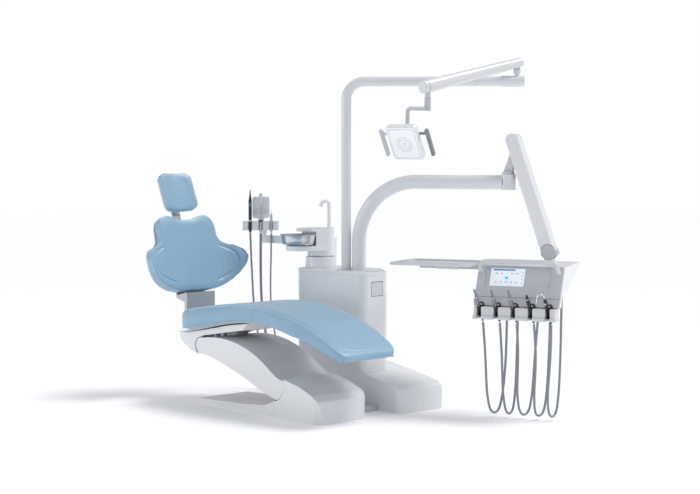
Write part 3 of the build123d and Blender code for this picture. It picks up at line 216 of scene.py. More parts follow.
def dress(obj, mat, body, hides=()):
    """Gives a new piece its material, body and the CAD nodes it stands for."""
    obj.data.materials.clear()
    obj.data.materials.append(mat)
    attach(obj, body)
    if hides:
        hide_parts(*hides)
    return obj


def new_object(name, mesh):
    """A scene object that shows a mesh or a curve."""
    obj = bpy.data.objects.new(name, mesh)
    SCENE.collection.objects.link(obj)
    return obj


def from_bmesh(name, bm):
    """A new smooth-shaded object from a bmesh, which is freed."""
    mesh = bpy.data.meshes.new(name)
    bmesh.ops.recalc_face_normals(bm, faces=bm.faces)
    bm.to_mesh(mesh)
    bm.free()
    for face in mesh.polygons:
        face.use_smooth = True
    return new_object(name, mesh)


def apply_modifiers(obj):
    """Makes the modifiers' result the object's own mesh."""
    graph = bpy.context.evaluated_depsgraph_get()
    mesh = bpy.data.meshes.new_from_object(obj.evaluated_get(graph), depsgraph=graph)
    old = obj.data
    obj.modifiers.clear()
    obj.data = mesh
    bpy.data.meshes.remove(old)


def sharpen(obj, angle):
    """Smooth shading with the real edges kept crisp."""
    mesh = obj.data
    for face in mesh.polygons:
        face.use_smooth = True
    mesh.set_sharp_from_angle(angle=radians(angle))


def weigh(obj):
    """Keeps large faces flat next to their rounded edges."""
    weighted = obj.modifiers.new("weighted", "WEIGHTED_NORMAL")
    weighted.keep_sharp = True
    weighted.weight = 60
    apply_modifiers(obj)


def softened(node, mat, body, width, segments):
    """A copy of a CAD node with its edges rounded, standing for that node."""
    bm = bmesh.new()
    bm.from_mesh(NODES[node].data)
    bmesh.ops.remove_doubles(bm, verts=bm.verts, dist=MERGE)
    bmesh.ops.dissolve_limit(bm, angle_limit=radians(FLAT), verts=bm.verts, edges=bm.edges)
    obj = from_bmesh(node + "_shell", bm)
    bevel = obj.modifiers.new("bevel", "BEVEL")
    bevel.width = width
    bevel.segments = segments
    bevel.limit_method = "ANGLE"
    bevel.angle_limit = radians(SHELL_BEVEL_FROM)
    bevel.use_clamp_overlap = True
    bevel.harden_normals = False
    apply_modifiers(obj)
    sharpen(obj, SHELL_CRISP_FROM)
    weigh(obj)
    return dress(obj, mat, body, [node])


def lathe(name, profile, place, mat, body, segments=40, hides=()):
    """A turned piece: profile is (radius, height) pairs, turned round the place's z axis."""
    bm = bmesh.new()
    rings = []
    for radius, height in profile:
        ring = []
        for i in range(segments):
            a = 2 * pi * i / segments
            ring.append(bm.verts.new(place @ Vector((radius * cos(a), radius * sin(a), height))))
        rings.append(ring)
    for low, high in zip(rings, rings[1:]):
        for i in range(segments):
            j = (i + 1) % segments
            bm.faces.new((low[i], low[j], high[j], high[i]))
    bm.faces.new(rings[0])
    bm.faces.new(rings[-1])
    obj = from_bmesh(name, bm)
    sharpen(obj, CRISP_FROM)
    return dress(obj, mat, body, hides)


def rounded_corners(width, height, radius, steps=6):
    """The outline of a rectangle with round corners, centred on the origin."""
    points = []
    for cx, cy, start in ((1, 1, 0), (-1, 1, 90), (-1, -1, 180), (1, -1, 270)):
        for i in range(steps + 1):
            a = radians(start + 90 * i / steps)
            points.append((cx * (width / 2 - radius) + radius * cos(a),
                           cy * (height / 2 - radius) + radius * sin(a)))
    return points


def plate(name, outline, low, high, place, mat, body, edge=0.0, hides=()):
    """A flat piece: an outline in the place's xy plane between two heights, edges rounded."""
    bm = bmesh.new()
    bottom = [bm.verts.new((x, y, low)) for x, y in outline]
    top = [bm.verts.new((x, y, high)) for x, y in outline]
    bm.faces.new(bottom)
    bm.faces.new(top)
    for i in range(len(outline)):
        j = (i + 1) % len(outline)
        bm.faces.new((bottom[i], bottom[j], top[j], top[i]))
    bm.transform(place)
    obj = from_bmesh(name, bm)
    if edge:
        bevel = obj.modifiers.new("bevel", "BEVEL")
        bevel.width = edge
        bevel.segments = 3
        bevel.angle_limit = radians(PLATE_BEVEL_FROM)
        bevel.limit_method = "ANGLE"
        apply_modifiers(obj)
    sharpen(obj, CRISP_FROM)
    return dress(obj, mat, body, hides)


def pipe(name, points, radius, place, mat, body, hides=(), cyclic=False):
    """A bent rod or bead along a smooth line through given points."""
    curve = bpy.data.curves.new(name, "CURVE")
    curve.dimensions = "3D"
    curve.bevel_depth = radius
    curve.bevel_resolution = 6
    curve.use_fill_caps = True
    spline = curve.splines.new("NURBS")
    spline.points.add(len(points) - 1)
    for i, point in enumerate(points):
        spline.points[i].co = (*(place @ Vector(point)), 1)
    spline.order_u = 3
    spline.use_cyclic_u = cyclic
    spline.use_endpoint_u = not cyclic
    spline.resolution_u = 12
    return dress(new_object(name, curve), mat, body, hides)


# ---------------------------------------------------------------- hoses
# the levels that all five instrument hoses pass, as (y, z) in console millimetres
LEVELS = [(-79, 517), (-81, 385), (-83, 250), (-80, 132), (-64, 26), (-4, 26), (14, 132),
          (18, 262), (16, 392), (14, 520), (12, 600), (10, 676)]
# each hose's x at those levels
STRANDS = [[-190, -178, -170, -166, -150, -124, -108, -97, -91, -88, -86, -86],
           [-95, -84, -78, -75, -62, -46, -38, -34, -30, -26, -25, -25],
           [0, 10, 8, 4, 16, 44, 58, 65, 74, 86, 90, 90],
           [95, 108, 106, 98, 100, 126, 138, 144, 150, 154, 155, 155],
           [190, 190, 182, 172, 176, 196, 204, 209, 213, 215, 217, 217]]
# each instrument hose as a tube through its strand's points, in metres
for number, xs in enumerate(STRANDS, start=1):
    route = [CONSOLE @ (Vector((x, y, z)) * MM) for x, (y, z) in zip(xs, LEVELS)]
    hose = pipe(f"hose_{number}", route, 0.0065, Matrix.Identity(4), HOSE, "console",
                [f"instrument_hose_{number}"])

# the suction hoses from their holder down and up to the column, in row-frame millimetres
SUCTION_ROUTES = [
    [(-798, 423, 942), (-797, 427, 820), (-790, 430, 690), (-778, 427, 560), (-762, 430, 440),
     (-738, 436, 310), (-700, 444, 200), (-630, 456, 128), (-520, 482, 110), (-442, 500, 156),
     (-404, 510, 230), (-384, 522, 300), (-346, 536, 350)],
    [(-755, 470, 942), (-754, 468, 820), (-748, 463, 690), (-738, 459, 560), (-726, 462, 440),
     (-706, 468, 320), (-672, 478, 222), (-610, 494, 156), (-520, 518, 142), (-450, 540, 182),
     (-412, 556, 250), (-388, 566, 318), (-347, 574, 366)],
    [(-712, 517, 942), (-711, 515, 820), (-707, 507, 690), (-700, 500, 560), (-690, 502, 440),
     (-670, 508, 330), (-634, 518, 240), (-570, 530, 180), (-490, 552, 170), (-436, 574, 214),
     (-406, 594, 276), (-384, 604, 340), (-344, 612, 386)]]
SUCTION_DIAMETERS = [0.012, 0.016, 0.010]


def skin_line(name, line, radius, sides=14):
    """A mesh tube round a line of points."""
    bm = bmesh.new()
    rings = []
    side = Vector((1, 0, 0))
    for i, point in enumerate(line):
        ahead = line[min(i + 1, len(line) - 1)] - line[max(i - 1, 0)]
        ahead.normalize()
        side = (side - ahead * side.dot(ahead)).normalized()
        other = ahead.cross(side)
        rings.append([bm.verts.new(point + (side * cos(2 * pi * k / sides)
                                            + other * sin(2 * pi * k / sides)) * radius)
                      for k in range(sides)])
    for low, high in zip(rings, rings[1:]):
        for k in range(sides):
            m = (k + 1) % sides
            bm.faces.new((low[k], low[m], high[m], high[k]))
    bm.faces.new(rings[0])
    bm.faces.new(rings[-1])
    return from_bmesh(name, bm)


def spline_line(points):
    """The points that a smooth cord line runs through."""
    curve = bpy.data.curves.new("line", "CURVE")
    curve.dimensions = "3D"
    spline = curve.splines.new("NURBS")
    spline.points.add(len(points) - 1)
    for i, point in enumerate(points):
        spline.points[i].co = (*point, 1)
    spline.order_u = 3
    spline.use_endpoint_u = True
    spline.resolution_u = 10
    holder = new_object("line", curve)
    graph = bpy.context.evaluated_depsgraph_get()
    mesh = bpy.data.meshes.new_from_object(holder.evaluated_get(graph), depsgraph=graph)
    line = [v.co.copy() for v in mesh.vertices]
    bpy.data.objects.remove(holder)
    return line


for number, route in enumerate(SUCTION_ROUTES, start=1):
    points = [Vector(p) * MM for p in route]
    line = spline_line(points)
    diameter = SUCTION_DIAMETERS[number - 1]
    hose = skin_line(f"suction_hose_{number}", line, diameter / 2)
    hose.data.materials.append(HOSE)
    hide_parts(f"assistant_hose_{number}")
    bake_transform(hose)


# ---------------------------------------------------------------- cushions
def smooth_mesh(bm, rounds):
    """Moves every point half way to its neighbours' middle, some rounds over."""
    for _ in range(rounds):
        bmesh.ops.smooth_vert(bm, verts=bm.verts, factor=0.5, use_axis_x=True,
                              use_axis_y=True, use_axis_z=True)


def distance_to(line, p):
    """The shortest distance from a flat point to a chain of points."""
    best = inf
    for a, b in zip(line, line[1:]):
        run = (b[0] - a[0], b[1] - a[1])
        t = ((p[0] - a[0]) * run[0] + (p[1] - a[1]) * run[1]) / (run[0] ** 2 + run[1] ** 2)
        t = max(0.0, min(1.0, t))
        dx, dy = p[0] - a[0] - t * run[0], p[1] - a[1] - t * run[1]
        best = min(best, dx * dx + dy * dy)
    return sqrt(best)


def curve_through(points, steps=4):
    """A smooth chain of points through a few given ones (Catmull-Rom)."""
    out = []
    last = len(points) - 1
    for i in range(last):
        p0, p1 = points[max(i - 1, 0)], points[i]
        p2, p3 = points[i + 1], points[min(i + 2, last)]
        for k in range(steps):
            t = k / steps
            out.append(tuple(0.5 * (2 * b + (c - a) * t + (2 * a - 5 * b + 4 * c - d) * t * t
                                    + (3 * b - a - 3 * c + d) * t ** 3)
                             for a, b, c, d in zip(p0, p1, p2, p3)))
    out.append(points[-1])
    return out


CLOTH_FRAMES = 12
CLOTH_PRESSURE = 4.0
SMOOTHING = 14           # rounds that take the small ripples out of the blown-up cloth
OWN_SHARE = 0.4          # what a point keeps of its own rise in such a round
REACH = 3                # groove widths beyond which the pad isn't pressed in


def remesh_evenly(obj, voxel):
    """Gives the pad even faces, which cloth and grooves need."""
    remesh = obj.modifiers.new("voxels", "REMESH")
    remesh.mode = "VOXEL"
    remesh.voxel_size = voxel
    apply_modifiers(obj)


def push_out(obj, amount, rounding=0):
    """Rounds the pad off, then moves its skin along its normals."""
    bm = bmesh.new()
    bm.from_mesh(obj.data)
    smooth_mesh(bm, rounding)
    bm.normal_update()
    for vert in bm.verts:
        vert.co += vert.normal * amount
    bm.to_mesh(obj.data)
    bm.free()


def blow_up(obj, swell):
    """Fills the pad as cloth under pressure, and keeps the rise along the normals, smoothed."""
    start = [v.co.copy() for v in obj.data.vertices]
    outward = [v.normal.copy() for v in obj.data.vertices]
    cloth = obj.modifiers.new("fill", "CLOTH")
    settings = cloth.settings
    settings.quality = 4
    settings.mass = 0.4
    settings.tension_stiffness = 25
    settings.compression_stiffness = 25
    settings.shear_stiffness = 12
    settings.bending_stiffness = 4
    settings.use_pressure = True
    settings.uniform_pressure_force = CLOTH_PRESSURE
    settings.effector_weights.gravity = 0
    cloth.collision_settings.use_collision = False
    cloth.collision_settings.use_self_collision = False
    for step in range(1, CLOTH_FRAMES + 1):
        SCENE.frame_set(step)
    apply_modifiers(obj)
    SCENE.frame_set(1)
    rise = [max(-swell, min(swell, (vert.co - was).dot(normal)))
            for vert, was, normal in zip(obj.data.vertices, start, outward)]
    near = [[] for _ in start]
    for edge in obj.data.edges:
        a, b = edge.vertices
        near[a].append(b)
        near[b].append(a)
    for _ in range(SMOOTHING):
        rise = [OWN_SHARE * own
                + (1 - OWN_SHARE) * sum(rise[i] for i in ring) / max(1, len(ring))
                for own, ring in zip(rise, near)]
    for vert, was, normal, out in zip(obj.data.vertices, start, outward, rise):
        vert.co = was + normal * out


def press_grooves(obj, grooves, local, facing):
    """Presses sewn lines into the side of the pad that looks along the local z axis.

    grooves are (line, depth, width) in the local frame's xy plane, and facing is the least
    cosine between that axis and the skin's normal.
    """
    to_local = local.inverted()
    front = local.to_3x3().col[2]
    obj.data.update()
    normals = [v.normal.copy() for v in obj.data.vertices]
    boxes = []
    for line, depth, width in grooves:
        xs, ys = [p[0] for p in line], [p[1] for p in line]
        boxes.append((min(xs) - REACH * width, max(xs) + REACH * width,
                      min(ys) - REACH * width, max(ys) + REACH * width))
    for vert, normal in zip(obj.data.vertices, normals):
        if normal.dot(front) < facing:
            continue
        p = to_local @ vert.co
        sink = 0.0
        for (line, depth, width), (x0, x1, y0, y1) in zip(grooves, boxes):
            if x0 < p.x < x1 and y0 < p.y < y1:
                d = distance_to(line, (p.x, p.y))
                if d < REACH * width:
                    sink = max(sink, depth * exp(-(d / width) ** 2))
        if sink:
            vert.co -= normal * sink


def cushion(name, node, body, voxel, inset, swell, rounding, grooves=(),
            local=Matrix.Identity(4), facing=0.0):
    """An upholstered pad: the CAD block rounded off, blown up as cloth, then sewn."""
    obj = new_object(name, NODES[node].data.copy())
    remesh_evenly(obj, voxel)
    push_out(obj, -inset, rounding)
    blow_up(obj, swell)
    finer = obj.modifiers.new("finer", "SUBSURF")
    finer.levels = 1
    apply_modifiers(obj)
    press_grooves(obj, grooves, local, facing)
    for face in obj.data.polygons:
        face.use_smooth = True
    dress(obj, LEATHER, body, [node])


SEAT_SEAM = [(-0.560, -0.205), (-0.480, -0.226), (-0.300, -0.232), (-0.100, -0.230),
             (0.150, -0.217), (0.400, -0.199), (0.590, -0.182), (0.665, -0.155),
             (0.700, -0.090), (0.706, 0), (0.700, 0.090), (0.665, 0.155), (0.590, 0.182),
             (0.400, 0.199), (0.150, 0.217), (-0.100, 0.230), (-0.300, 0.232),
             (-0.480, 0.226), (-0.560, 0.205), (-0.596, 0.150), (-0.610, 0), (-0.596, -0.150),
             (-0.560, -0.205)]
cushion("seat_pad", "seat_cushion", "seat", voxel=0.0075, inset=0.009, swell=0.010, rounding=9,
        grooves=[(curve_through(SEAT_SEAM), 0.0022, 0.0045)], facing=0.35)

BACK_SEAM = [(0.206, 0.246), (0.246, 0.225), (0.282, 0.197), (0.293, 0.162), (0.290, 0.119),
             (0.263, 0.084), (0.214, 0.057), (0.156, 0.037)]
BACK_SEAM_LEFT = [(-y, s) for y, s in BACK_SEAM]
cushion("backrest_pad", "backrest_cushion", "backrest", voxel=0.006, inset=0.007, swell=0.009,
        rounding=8, local=BACK, facing=0.2,
        grooves=[(curve_through(seam), 0.0042, 0.0065) for seam in (BACK_SEAM, BACK_SEAM_LEFT)])
cushion("headrest_pad", "headrest_cushion", "headrest", voxel=0.0045, inset=0.005, swell=0.007,
        rounding=10)

# ---------------------------------------------------------------- shells carried over, softened
# CAD node, look, body, record slot, edge rounding in metres, steps in the rounding
SHELLS = [
    ("base_rear_cover", WHITE, "base", "white_gloss", 0.005, 3),
    ("base_front_cover", WHITE, "base", "white_gloss", 0.012, 5),
    ("lift_arm_cover", WHITE, "lift_arm", "white_gloss", 0.006, 4),
    ("seat_carrier_cover", WHITE, "seat", "white_gloss", 0.004, 3),
    ("unit_base_cover", WHITE, "base", "white_gloss", 0.014, 5),
    ("unit_column_cover", WHITE, "base", "white_gloss", 0.0015, 2),
    ("column_top_cover", WHITE, "base", "white_gloss", 0.0015, 2),
    ("turret_base", WHITE, "base", "white_gloss", 0.003, 3),
    ("turret_housing", WHITE, "bowl_arm", "white_gloss", 0.005, 4),
    ("service_hatch", PALE_GREY, "hatch", "grey_plastic", 0.001, 2),
    ("connection_duct", GREY, "base", "grey_plastic", 0.002, 2),
    ("console_body", WHITE, "console", "white_gloss", 0.005, 4),
    ("console_panel", GREY, "console", "grey_plastic", 0.002, 3),
    ("holder_blocks", PALE_GREY, "console", "white_gloss", 0.003, 3),
    ("tray_rail", GREY, "console", "grey_plastic", 0.003, 3),
    ("instrument_tray", PALE_GREY, "tray", "bright_steel", 0.002, 3),
    ("dentist_arm", WHITE, "dentist_arm", "white_gloss", 0.004, 3),
    ("dentist_knuckle", PALE_GREY, "dentist_swivel", "frame_alloy", 0.003, 3),
    ("console_knuckle", GREY, "console_carrier", "grey_plastic", 0.004, 4),
    ("brake_knob", PALE_GREY, "brake_knob", "dark_plastic", 0.003, 3),
    ("assistant_arm", WHITE, "assistant", "white_gloss", 0.005, 4),
    ("assistant_holder", WHITE, "assistant", "white_gloss", 0.004, 4),
    ("light_handles", GREY, "light_head", "grey_plastic", 0.004, 4),
    ("light_knuckle", PALE_GREY, "light_carrier", "grey_plastic", 0.003, 3),
    ("light_yoke", GREY, "light_yoke", "grey_plastic", 0.002, 2),
    ("light_arm", TUBE, "light_arm", "grey_plastic", 0.003, 3),
    ("light_arm_pivot", PALE_GREY, "light_swivel", "bright_steel", 0.002, 2),
    ("backrest_shell", PALE_GREY, "backrest", "grey_plastic", 0.003, 2),
    ("backrest_bracket", ALLOY, "backrest", "frame_alloy", 0.003, 3),
    ("headrest_bar", CHROME, "headrest_slide", "bright_steel", 0.003, 3),
    ("headrest_shell", PALE_GREY, "headrest", "grey_plastic", 0.003, 3),
    ("seat_frame", ALLOY, "seat", "frame_alloy", 0.001, 2),
    ("lift_motor", DARK, "base", "dark_plastic", 0.003, 3),
]
for node, mat, body, slot, width, segments in SHELLS:
    softened(node, mat, body, width, segments)

# the lamp's right grip is darker than its left one
RIGHT_GRIP_FROM = 0.098          # metres right of the lamp head's middle
grips = bpy.data.objects["light_handles_shell"]
grips.data.materials.append(SLATE)
to_head = HEAD.inverted()
for face in grips.data.polygons:
    if (to_head @ face.center).x > RIGHT_GRIP_FROM:
        face.material_index = 1

# CAD nodes shown as they are, in a new look
KEPT = {"base_frame": FRAME_PAINT, "lift_pivot_shaft": STEEL, "lift_arm_frame": FRAME_PAINT,
        "levelling_link": STEEL, "unit_frame": FRAME_PAINT, "light_post": TUBE,
        "dentist_tube": TUBE}
for node, mat in KEPT.items():
    NODES[node].data.materials.clear()
    NODES[node].data.materials.append(mat)
    sharpen(NODES[node], SHELL_CRISP_FROM)


# ---------------------------------------------------------------- console details
def spot(x, y, z):
    """A console-frame point in millimetres, in metres."""
    return CONSOLE @ (Vector((x, y, z)) * MM)


def standing(origin, direction):
    """A frame at origin whose z axis runs along a direction, both in console millimetres."""
    return (Matrix.Translation(spot(*origin))
            @ pointing(CONSOLE.to_3x3() @ Vector(direction).normalized()))


SLOTS = (-190, -95, 0, 95, 190)
HOLDER_Y, HOLDER_Z = -79, 523
TOOL_LINE = (-22, -75, 167)
HANDPIECE = [(5, 0), (6, 2), (6, 60), (7, 96), (9.2, 104), (9.6, 120), (8.8, 138), (6.2, 158),
             (5, 172), (5.4, 186), (4.4, 192), (2.2, 193)]
MOTOR = [(5, 0), (6, 2), (6, 84), (8, 96), (10, 104), (10, 136), (8.4, 142), (8.4, 150),
         (5.4, 162), (4.6, 168), (1.8, 169)]
for number, slot in enumerate(SLOTS[:4], start=1):
    place = standing((slot, HOLDER_Y, HOLDER_Z), TOOL_LINE)
    profile, finish = (MOTOR, DARK) if number == 4 else (HANDPIECE, GUNMETAL)
    lathe(f"handpiece_{number}", mm(profile), place, finish, "console", 28,
          ["handpieces"])
    lathe(f"handpiece_ring_{number}", mm([(6.2, 140), (9.0, 141), (9.0, 144), (6.2, 145)]),
          place, CHROME, "console", 28, ["handpieces"])
    lathe(f"handpiece_sleeve_{number}", mm([(5, 6), (7.4, 8), (8.4, 50), (8.4, 88), (6, 92)]),
          place, DARK, "console", 28, ["handpieces"])
syringe_place = standing((SLOTS[4], HOLDER_Y, HOLDER_Z), TOOL_LINE)
lathe("syringe_body", mm([(5, 0), (6, 2), (6, 80), (9, 94), (10.2, 110), (10.2, 132), (7, 144),
                          (4, 150)]), syringe_place, DARK, "console", 28,
      ["air_water_syringe"])
pipe("syringe_nozzle", [(0, 0, 0.146), (0, 0, 0.168), (-0.004, -0.008, 0.182),
                        (-0.020, -0.022, 0.184), (-0.030, -0.030, 0.160),
                        (-0.034, -0.032, 0.140)], 0.0030, syringe_place, CHROME, "console",
     ["air_water_syringe"])
for side in (-1, 1):
    plate(f"syringe_button_{(side + 3) // 2}", rounded_corners(0.007, 0.012, 0.003), 0.0088,
          0.0112, syringe_place @ Matrix.Translation((side * 0.004, 0, 0.122))
          @ Matrix.Rotation(radians(90), 4, "X"), GREY, "console", 0.0006,
          ["air_water_syringe"])

# dark rests behind the instruments
for number, slot in enumerate(SLOTS, start=1):
    rest = standing((slot - 3, -104, 607), (-8, -64, 50))
    lathe(f"instrument_rest_{number}",
          mm([(9, -16), (17, -12), (20.5, 2), (20.5, 7), (18.5, 8.5), (14, 4), (6, 0), (1, -1)]),
          rest, SOOT, "console", 36)

# the grip bar over the panel, thicker than the CAD rod it stands for
GRIP_PATH = [(-216, -30, 786), (-217, -46, 790), (-216, -57, 804), (-212, -57, 826),
             (-196, -54, 841), (-160, -54, 843), (-80, -54, 844), (80, -54, 844),
             (160, -54, 843), (196, -54, 841), (212, -57, 826), (216, -57, 804),
             (217, -46, 790), (216, -30, 786)]
pipe("console_grip", [tuple(Vector(p) * MM) for p in GRIP_PATH], 0.0125, CONSOLE, PALE_GREY,
     "console", ["console_handle"])

# display content on the sloping panel
PANEL = CONSOLE @ axes_frame((0, -0.093, 0.604), (1, 0, 0), (0, -0.915, 0.403))
DISPLAY_X, DISPLAY_Y = -0.069, 0.163            # the display's middle on the panel
plate("display_glass", rounded_corners(0.192, 0.100, 0.004), 0.0085, 0.0102,
      PANEL @ Matrix.Translation((DISPLAY_X, DISPLAY_Y, 0)), SCREEN, "console",
      0.0004, ["console_display"])


def screen_patch(name, x, y, width, height, mat, corner=0.001):
    """A flat mark on the display, placed from its middle."""
    plate(name, rounded_corners(width, height, corner), 0.0101, 0.01045,
          PANEL @ Matrix.Translation((DISPLAY_X + x, DISPLAY_Y + y, 0)), mat, "console",
          0, ["console_display"])


screen_patch("display_bar", -0.022, 0.0415, 0.124, 0.0075, SCREEN_BLUE)
screen_patch("display_icon", -0.004, -0.003, 0.017, 0.015, SCREEN_CYAN, 0.004)
for row in range(2):
    for column in range(5):
        if (row, column) != (0, 2):
            screen_patch(f"display_key_{row}_{column}", -0.062 + column * 0.029,
                         0.022 - row * 0.050, 0.014, 0.008, SCREEN_LINE, 0.002)
for row in range(4):
    screen_patch(f"display_side_{row}", 0.083, 0.030 - row * 0.020, 0.010, 0.006, SCREEN_LINE)
# painted shade: a dark bead along the seam between the panel and the holder, standing in for its
# shade
pipe("panel_seam_shade", [(-0.236, 0.050, 0.0124), (0, 0.050, 0.0124), (0.236, 0.050, 0.0124)],
     0.0010, PANEL, SEAM_SHADE, "console")
# screws in the tray rail
for number, x in enumerate((-0.470, -0.330), start=1):
    lathe(f"rail_screw_{number}", mm([(1, 0), (4, 0.2), (4, 1.8), (2.6, 2.4), (1, 2.4)]),
          CONSOLE @ Matrix.Translation((x, 0.019, 0.801)) @ Matrix.Rotation(radians(90), 4, "X"),
          STEEL, "console", 20)

# ---------------------------------------------------------------- assistant's element details
ROW_UP = [(-64, [(6, 0), (8, 2), (8, 66), (9, 70), (9, 78), (10.2, 84), (10.2, 196),
                 (8.5, 204), (4.4, 232), (2.4, 262), (1, 262)]),
          (0, [(8, 0), (10, 2), (10, 84), (9.2, 88), (9.2, 96), (7.2, 100), (7.2, 216),
               (9, 222), (10.4, 230), (9.2, 237), (5.5, 239), (5.0, 232), (1, 230)]),
          (64, [(5, 0), (7, 2), (7, 76), (8.6, 82), (8.6, 104), (5.4, 112), (3, 118), (1.6, 122),
                (1.4, 140), (0.7, 140)])]
ROW_MATS = [(DARK, "dark_plastic"), (STEEL, "grey_plastic"), (GREY, "grey_plastic")]
for number, ((x, profile), (mat, slot)) in enumerate(zip(ROW_UP, ROW_MATS), start=1):
    place = ROW @ Matrix.Translation((x * MM, 0, 0.945))
    lathe(f"suction_tool_{number}", mm(profile), place, mat, "assistant", 30,
          ["suction_instruments"])
    top = (9.4, 11.4, 8.6)[number - 1]
    lathe(f"suction_collar_{number}", mm([(top - 2, 66), (top, 67), (top, 77), (top - 2, 78)]),
          place, DARK if number == 2 else STEEL, "assistant", 30,
          ["suction_instruments"])
lathe("suction_band", mm([(9.8, 158), (10.6, 159), (10.6, 180), (9.8, 181)]),
      ROW @ Matrix.Translation((-0.064, 0, 0.945)), TEAL, "assistant", 30,
      ["suction_instruments"])
KEY = [(1, -0.4), (4.0, -0.4), (4.0, 0.8), (3.2, 1.3), (1, 1.3)]
KEYPAD = ROW @ axes_frame((0, 0.028, 1.098), (1, 0, 0), (0, -1, 0))
plate("keypad_strip", rounded_corners(0.100, 0.034, 0.006), -0.0002, 0.0012,
      KEYPAD @ Matrix.Translation((0, -0.022, 0)), PALE_GREY, "assistant",
      0.0006)
for row in range(3):
    for column in range(4):
        lathe(f"key_{row}_{column}", mm(KEY),
              KEYPAD @ Matrix.Translation((-0.036 + column * 0.024, 0.050 - row * 0.019, 0)),
              PALE_GREY if (row + column) % 4 else GREY, "assistant", 18)

# ---------------------------------------------------------------- light head details
plate("light_housing", rounded_corners(0.186, 0.208, 0.020, 8), -0.040, -0.0045, HEAD, WHITE,
      "light_head", 0.004, ["light_head"])
plate("light_housing_back", rounded_corners(0.150, 0.168, 0.030, 8), -0.058, -0.038, HEAD,
      WHITE, "light_head", 0.012, ["light_head"])
plate("reflector", rounded_corners(0.178, 0.200, 0.016, 8), -0.0048, -0.0030, HEAD, REFLECTOR,
      "light_head", 0.0006, ["light_lens"])
for number, radius in enumerate((0.046, 0.032, 0.012), start=1):
    lathe(f"reflector_ring_{number}", [(radius - 0.004, 0), (radius - 0.0028, 0.0016),
                                       (radius - 0.001, 0.0018), (radius, 0)],
          HEAD @ Matrix.Translation((0.002, -0.004, -0.0031)), PALE_GREY, "light_head",
          64, ["light_lens"])
pipe("reflector_rim", [(x, y, -0.0022) for x, y in rounded_corners(0.158, 0.180, 0.014)],
     0.0013, HEAD, GREY, "light_head", ["light_lens"], cyclic=True)
plate("light_glass", rounded_corners(0.176, 0.198, 0.015, 8), -0.0008, 0.0008, HEAD, LENS,
      "light_head", 0.0005, ["light_lens"])

# painted shade: a dark ring standing in for the shaded joint line in front of the light arm's
# end cap
LAMP_ARM = Matrix.Translation((0.655, 1.205, 1.935)) @ pointing((-0.1238, -0.9661, -0.2267))
lathe("light_arm_joint_shade", mm([(36.2, 668), (37.5, 668.4), (37.5, 670.4), (36.2, 670.8)]),
      LAMP_ARM, SEAM_SHADE, "light_arm", 64)

# ---------------------------------------------------------------- bowl and column details
BOWL = Matrix.Translation((-0.250, 0.338, 0))
lathe("spittoon_dish", mm([(1, 897), (30, 898), (60, 902), (80, 910), (90, 925), (96, 945),
                           (99, 954), (104, 957), (105, 955), (102, 950), (97, 925), (93, 905),
                           (86, 896), (60, 892), (1, 891)]), BOWL, STEEL, "bowl_arm",
      72, ["spittoon_bowl"])
lathe("bowl_drain", mm([(1, 895), (15, 895), (16, 897), (13, 898.4), (9, 897.4), (4, 898.2),
                        (1, 898.2)]), BOWL, CHROME, "bowl_arm", 36)
pipe("spout", [(-0.213, 0.545, 0.991), (-0.213, 0.545, 1.060), (-0.213, 0.545, 1.118),
               (-0.2145, 0.5434, 1.142), (-0.228, 0.5285, 1.147), (-0.242, 0.513, 1.138),
               (-0.2467, 0.508, 1.114)], 0.0110, Matrix.Identity(4), WARM_WHITE, "bowl_arm",
     ["cup_filler_spout"])
# painted shade: a dark band standing in for the shaded groove between the turret's base and its
# housing
TURRET = Matrix.Translation((-0.245, 0.510, 0))
lathe("turret_groove_shade", mm([(80.2, 826.5), (80.4, 826.5), (80.4, 828.2), (80.2, 828.2)]), TURRET,
      SEAM_SHADE, "bowl_arm", 64)

# ---------------------------------------------------------------- screws
def screw(name, x, y, z, direction, body, radius=3.2):
    """A small round cover cap on a surface that faces a direction."""
    place = Matrix.Translation((x, y, z)) @ pointing(direction)
    lathe(name, mm([(0.6, -1.0), (radius, -1.0), (radius, 0.6), (radius - 1, 1.1), (0.6, 1.1)]),
          place, GREY, body, 20)


screw("base_screw", 0.5265, -0.028, 0.033, (1, 0, 0.12), "base")
screw("unit_screw", 0.5550, 0.560, 0.032, (1, 0, 0.12), "base")
screw("carrier_screw", 0.094, -0.1822, 0.486, (0, -1, 0), "seat", 2.6)

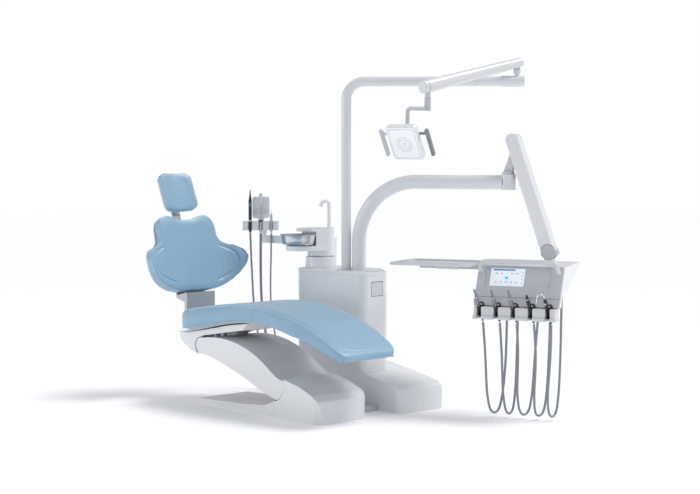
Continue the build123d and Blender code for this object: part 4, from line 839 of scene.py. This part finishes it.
# ---------------------------------------------------------------- floor and light
FLOOR_REACH = 30
floor_mesh = bpy.data.meshes.new("floor")
floor_mesh.from_pydata([(x * FLOOR_REACH, y * FLOOR_REACH, 0)
                        for x, y in ((-1, -1), (1, -1), (1, 1), (-1, 1))], [], [(0, 1, 2, 3)])
floor = new_object("floor", floor_mesh)
floor_mat = bpy.data.materials.new("floor")
floor_mat.use_nodes = True
floor_shader = floor_mat.node_tree.nodes["Principled BSDF"]
floor_shader.inputs["Base Color"].default_value = (0.90, 0.90, 0.91, 1)
floor_shader.inputs["Roughness"].default_value = 0.6
floor_shader.inputs["Specular IOR Level"].default_value = 0.2
floor_shader.inputs["Emission Color"].default_value = (1, 1, 1, 1)
floor_shader.inputs["Emission Strength"].default_value = 0.12
floor.data.materials.append(floor_mat)

# the camera sees a white backdrop, and everything else is lit by a dimmer sky
world = bpy.data.worlds.new("studio")
SCENE.world = world
world.use_nodes = True
ambient = world.node_tree.nodes["Background"]
ambient.inputs["Color"].default_value = (0.93, 0.96, 1.0, 1)
ambient.inputs["Strength"].default_value = 0.50
backdrop = world.node_tree.nodes.new("ShaderNodeBackground")
backdrop.inputs["Color"].default_value = (1, 1, 1, 1)
seen = world.node_tree.nodes.new("ShaderNodeLightPath")
choose = world.node_tree.nodes.new("ShaderNodeMixShader")
world_links = world.node_tree.links
world_links.new(seen.outputs["Is Camera Ray"], choose.inputs[0])
world_links.new(ambient.outputs[0], choose.inputs[1])
world_links.new(backdrop.outputs[0], choose.inputs[2])
world_links.new(choose.outputs[0], world.node_tree.nodes["World Output"].inputs["Surface"])


def softbox(name, location, target, size, power):
    """A rectangular lamp that looks at a target."""
    data = bpy.data.lights.new(name, "AREA")
    data.shape = "RECTANGLE"
    data.size, data.size_y = size
    data.energy = power
    lamp = bpy.data.objects.new(name, data)
    lamp.location = location
    lamp.rotation_euler = aimed(Vector(target) - Vector(location))
    SCENE.collection.objects.link(lamp)


softbox("fill_left", (-3.4, -4.4, 2.2), (0, 0, 0.6), (2.6, 2.6), 62)
softbox("rim_right", (4.8, 1.6, 2.6), (0.6, 0.6, 0.8), (1.4, 2.6), 8)

SUN_DIRECTION = (-0.36, -0.50, -1.0)
key = bpy.data.lights.new("key_high", "SUN")
key.energy = 2.0
key.angle = radians(24)
key_lamp = bpy.data.objects.new("key_high", key)
key_lamp.rotation_euler = aimed(SUN_DIRECTION)
SCENE.collection.objects.link(key_lamp)
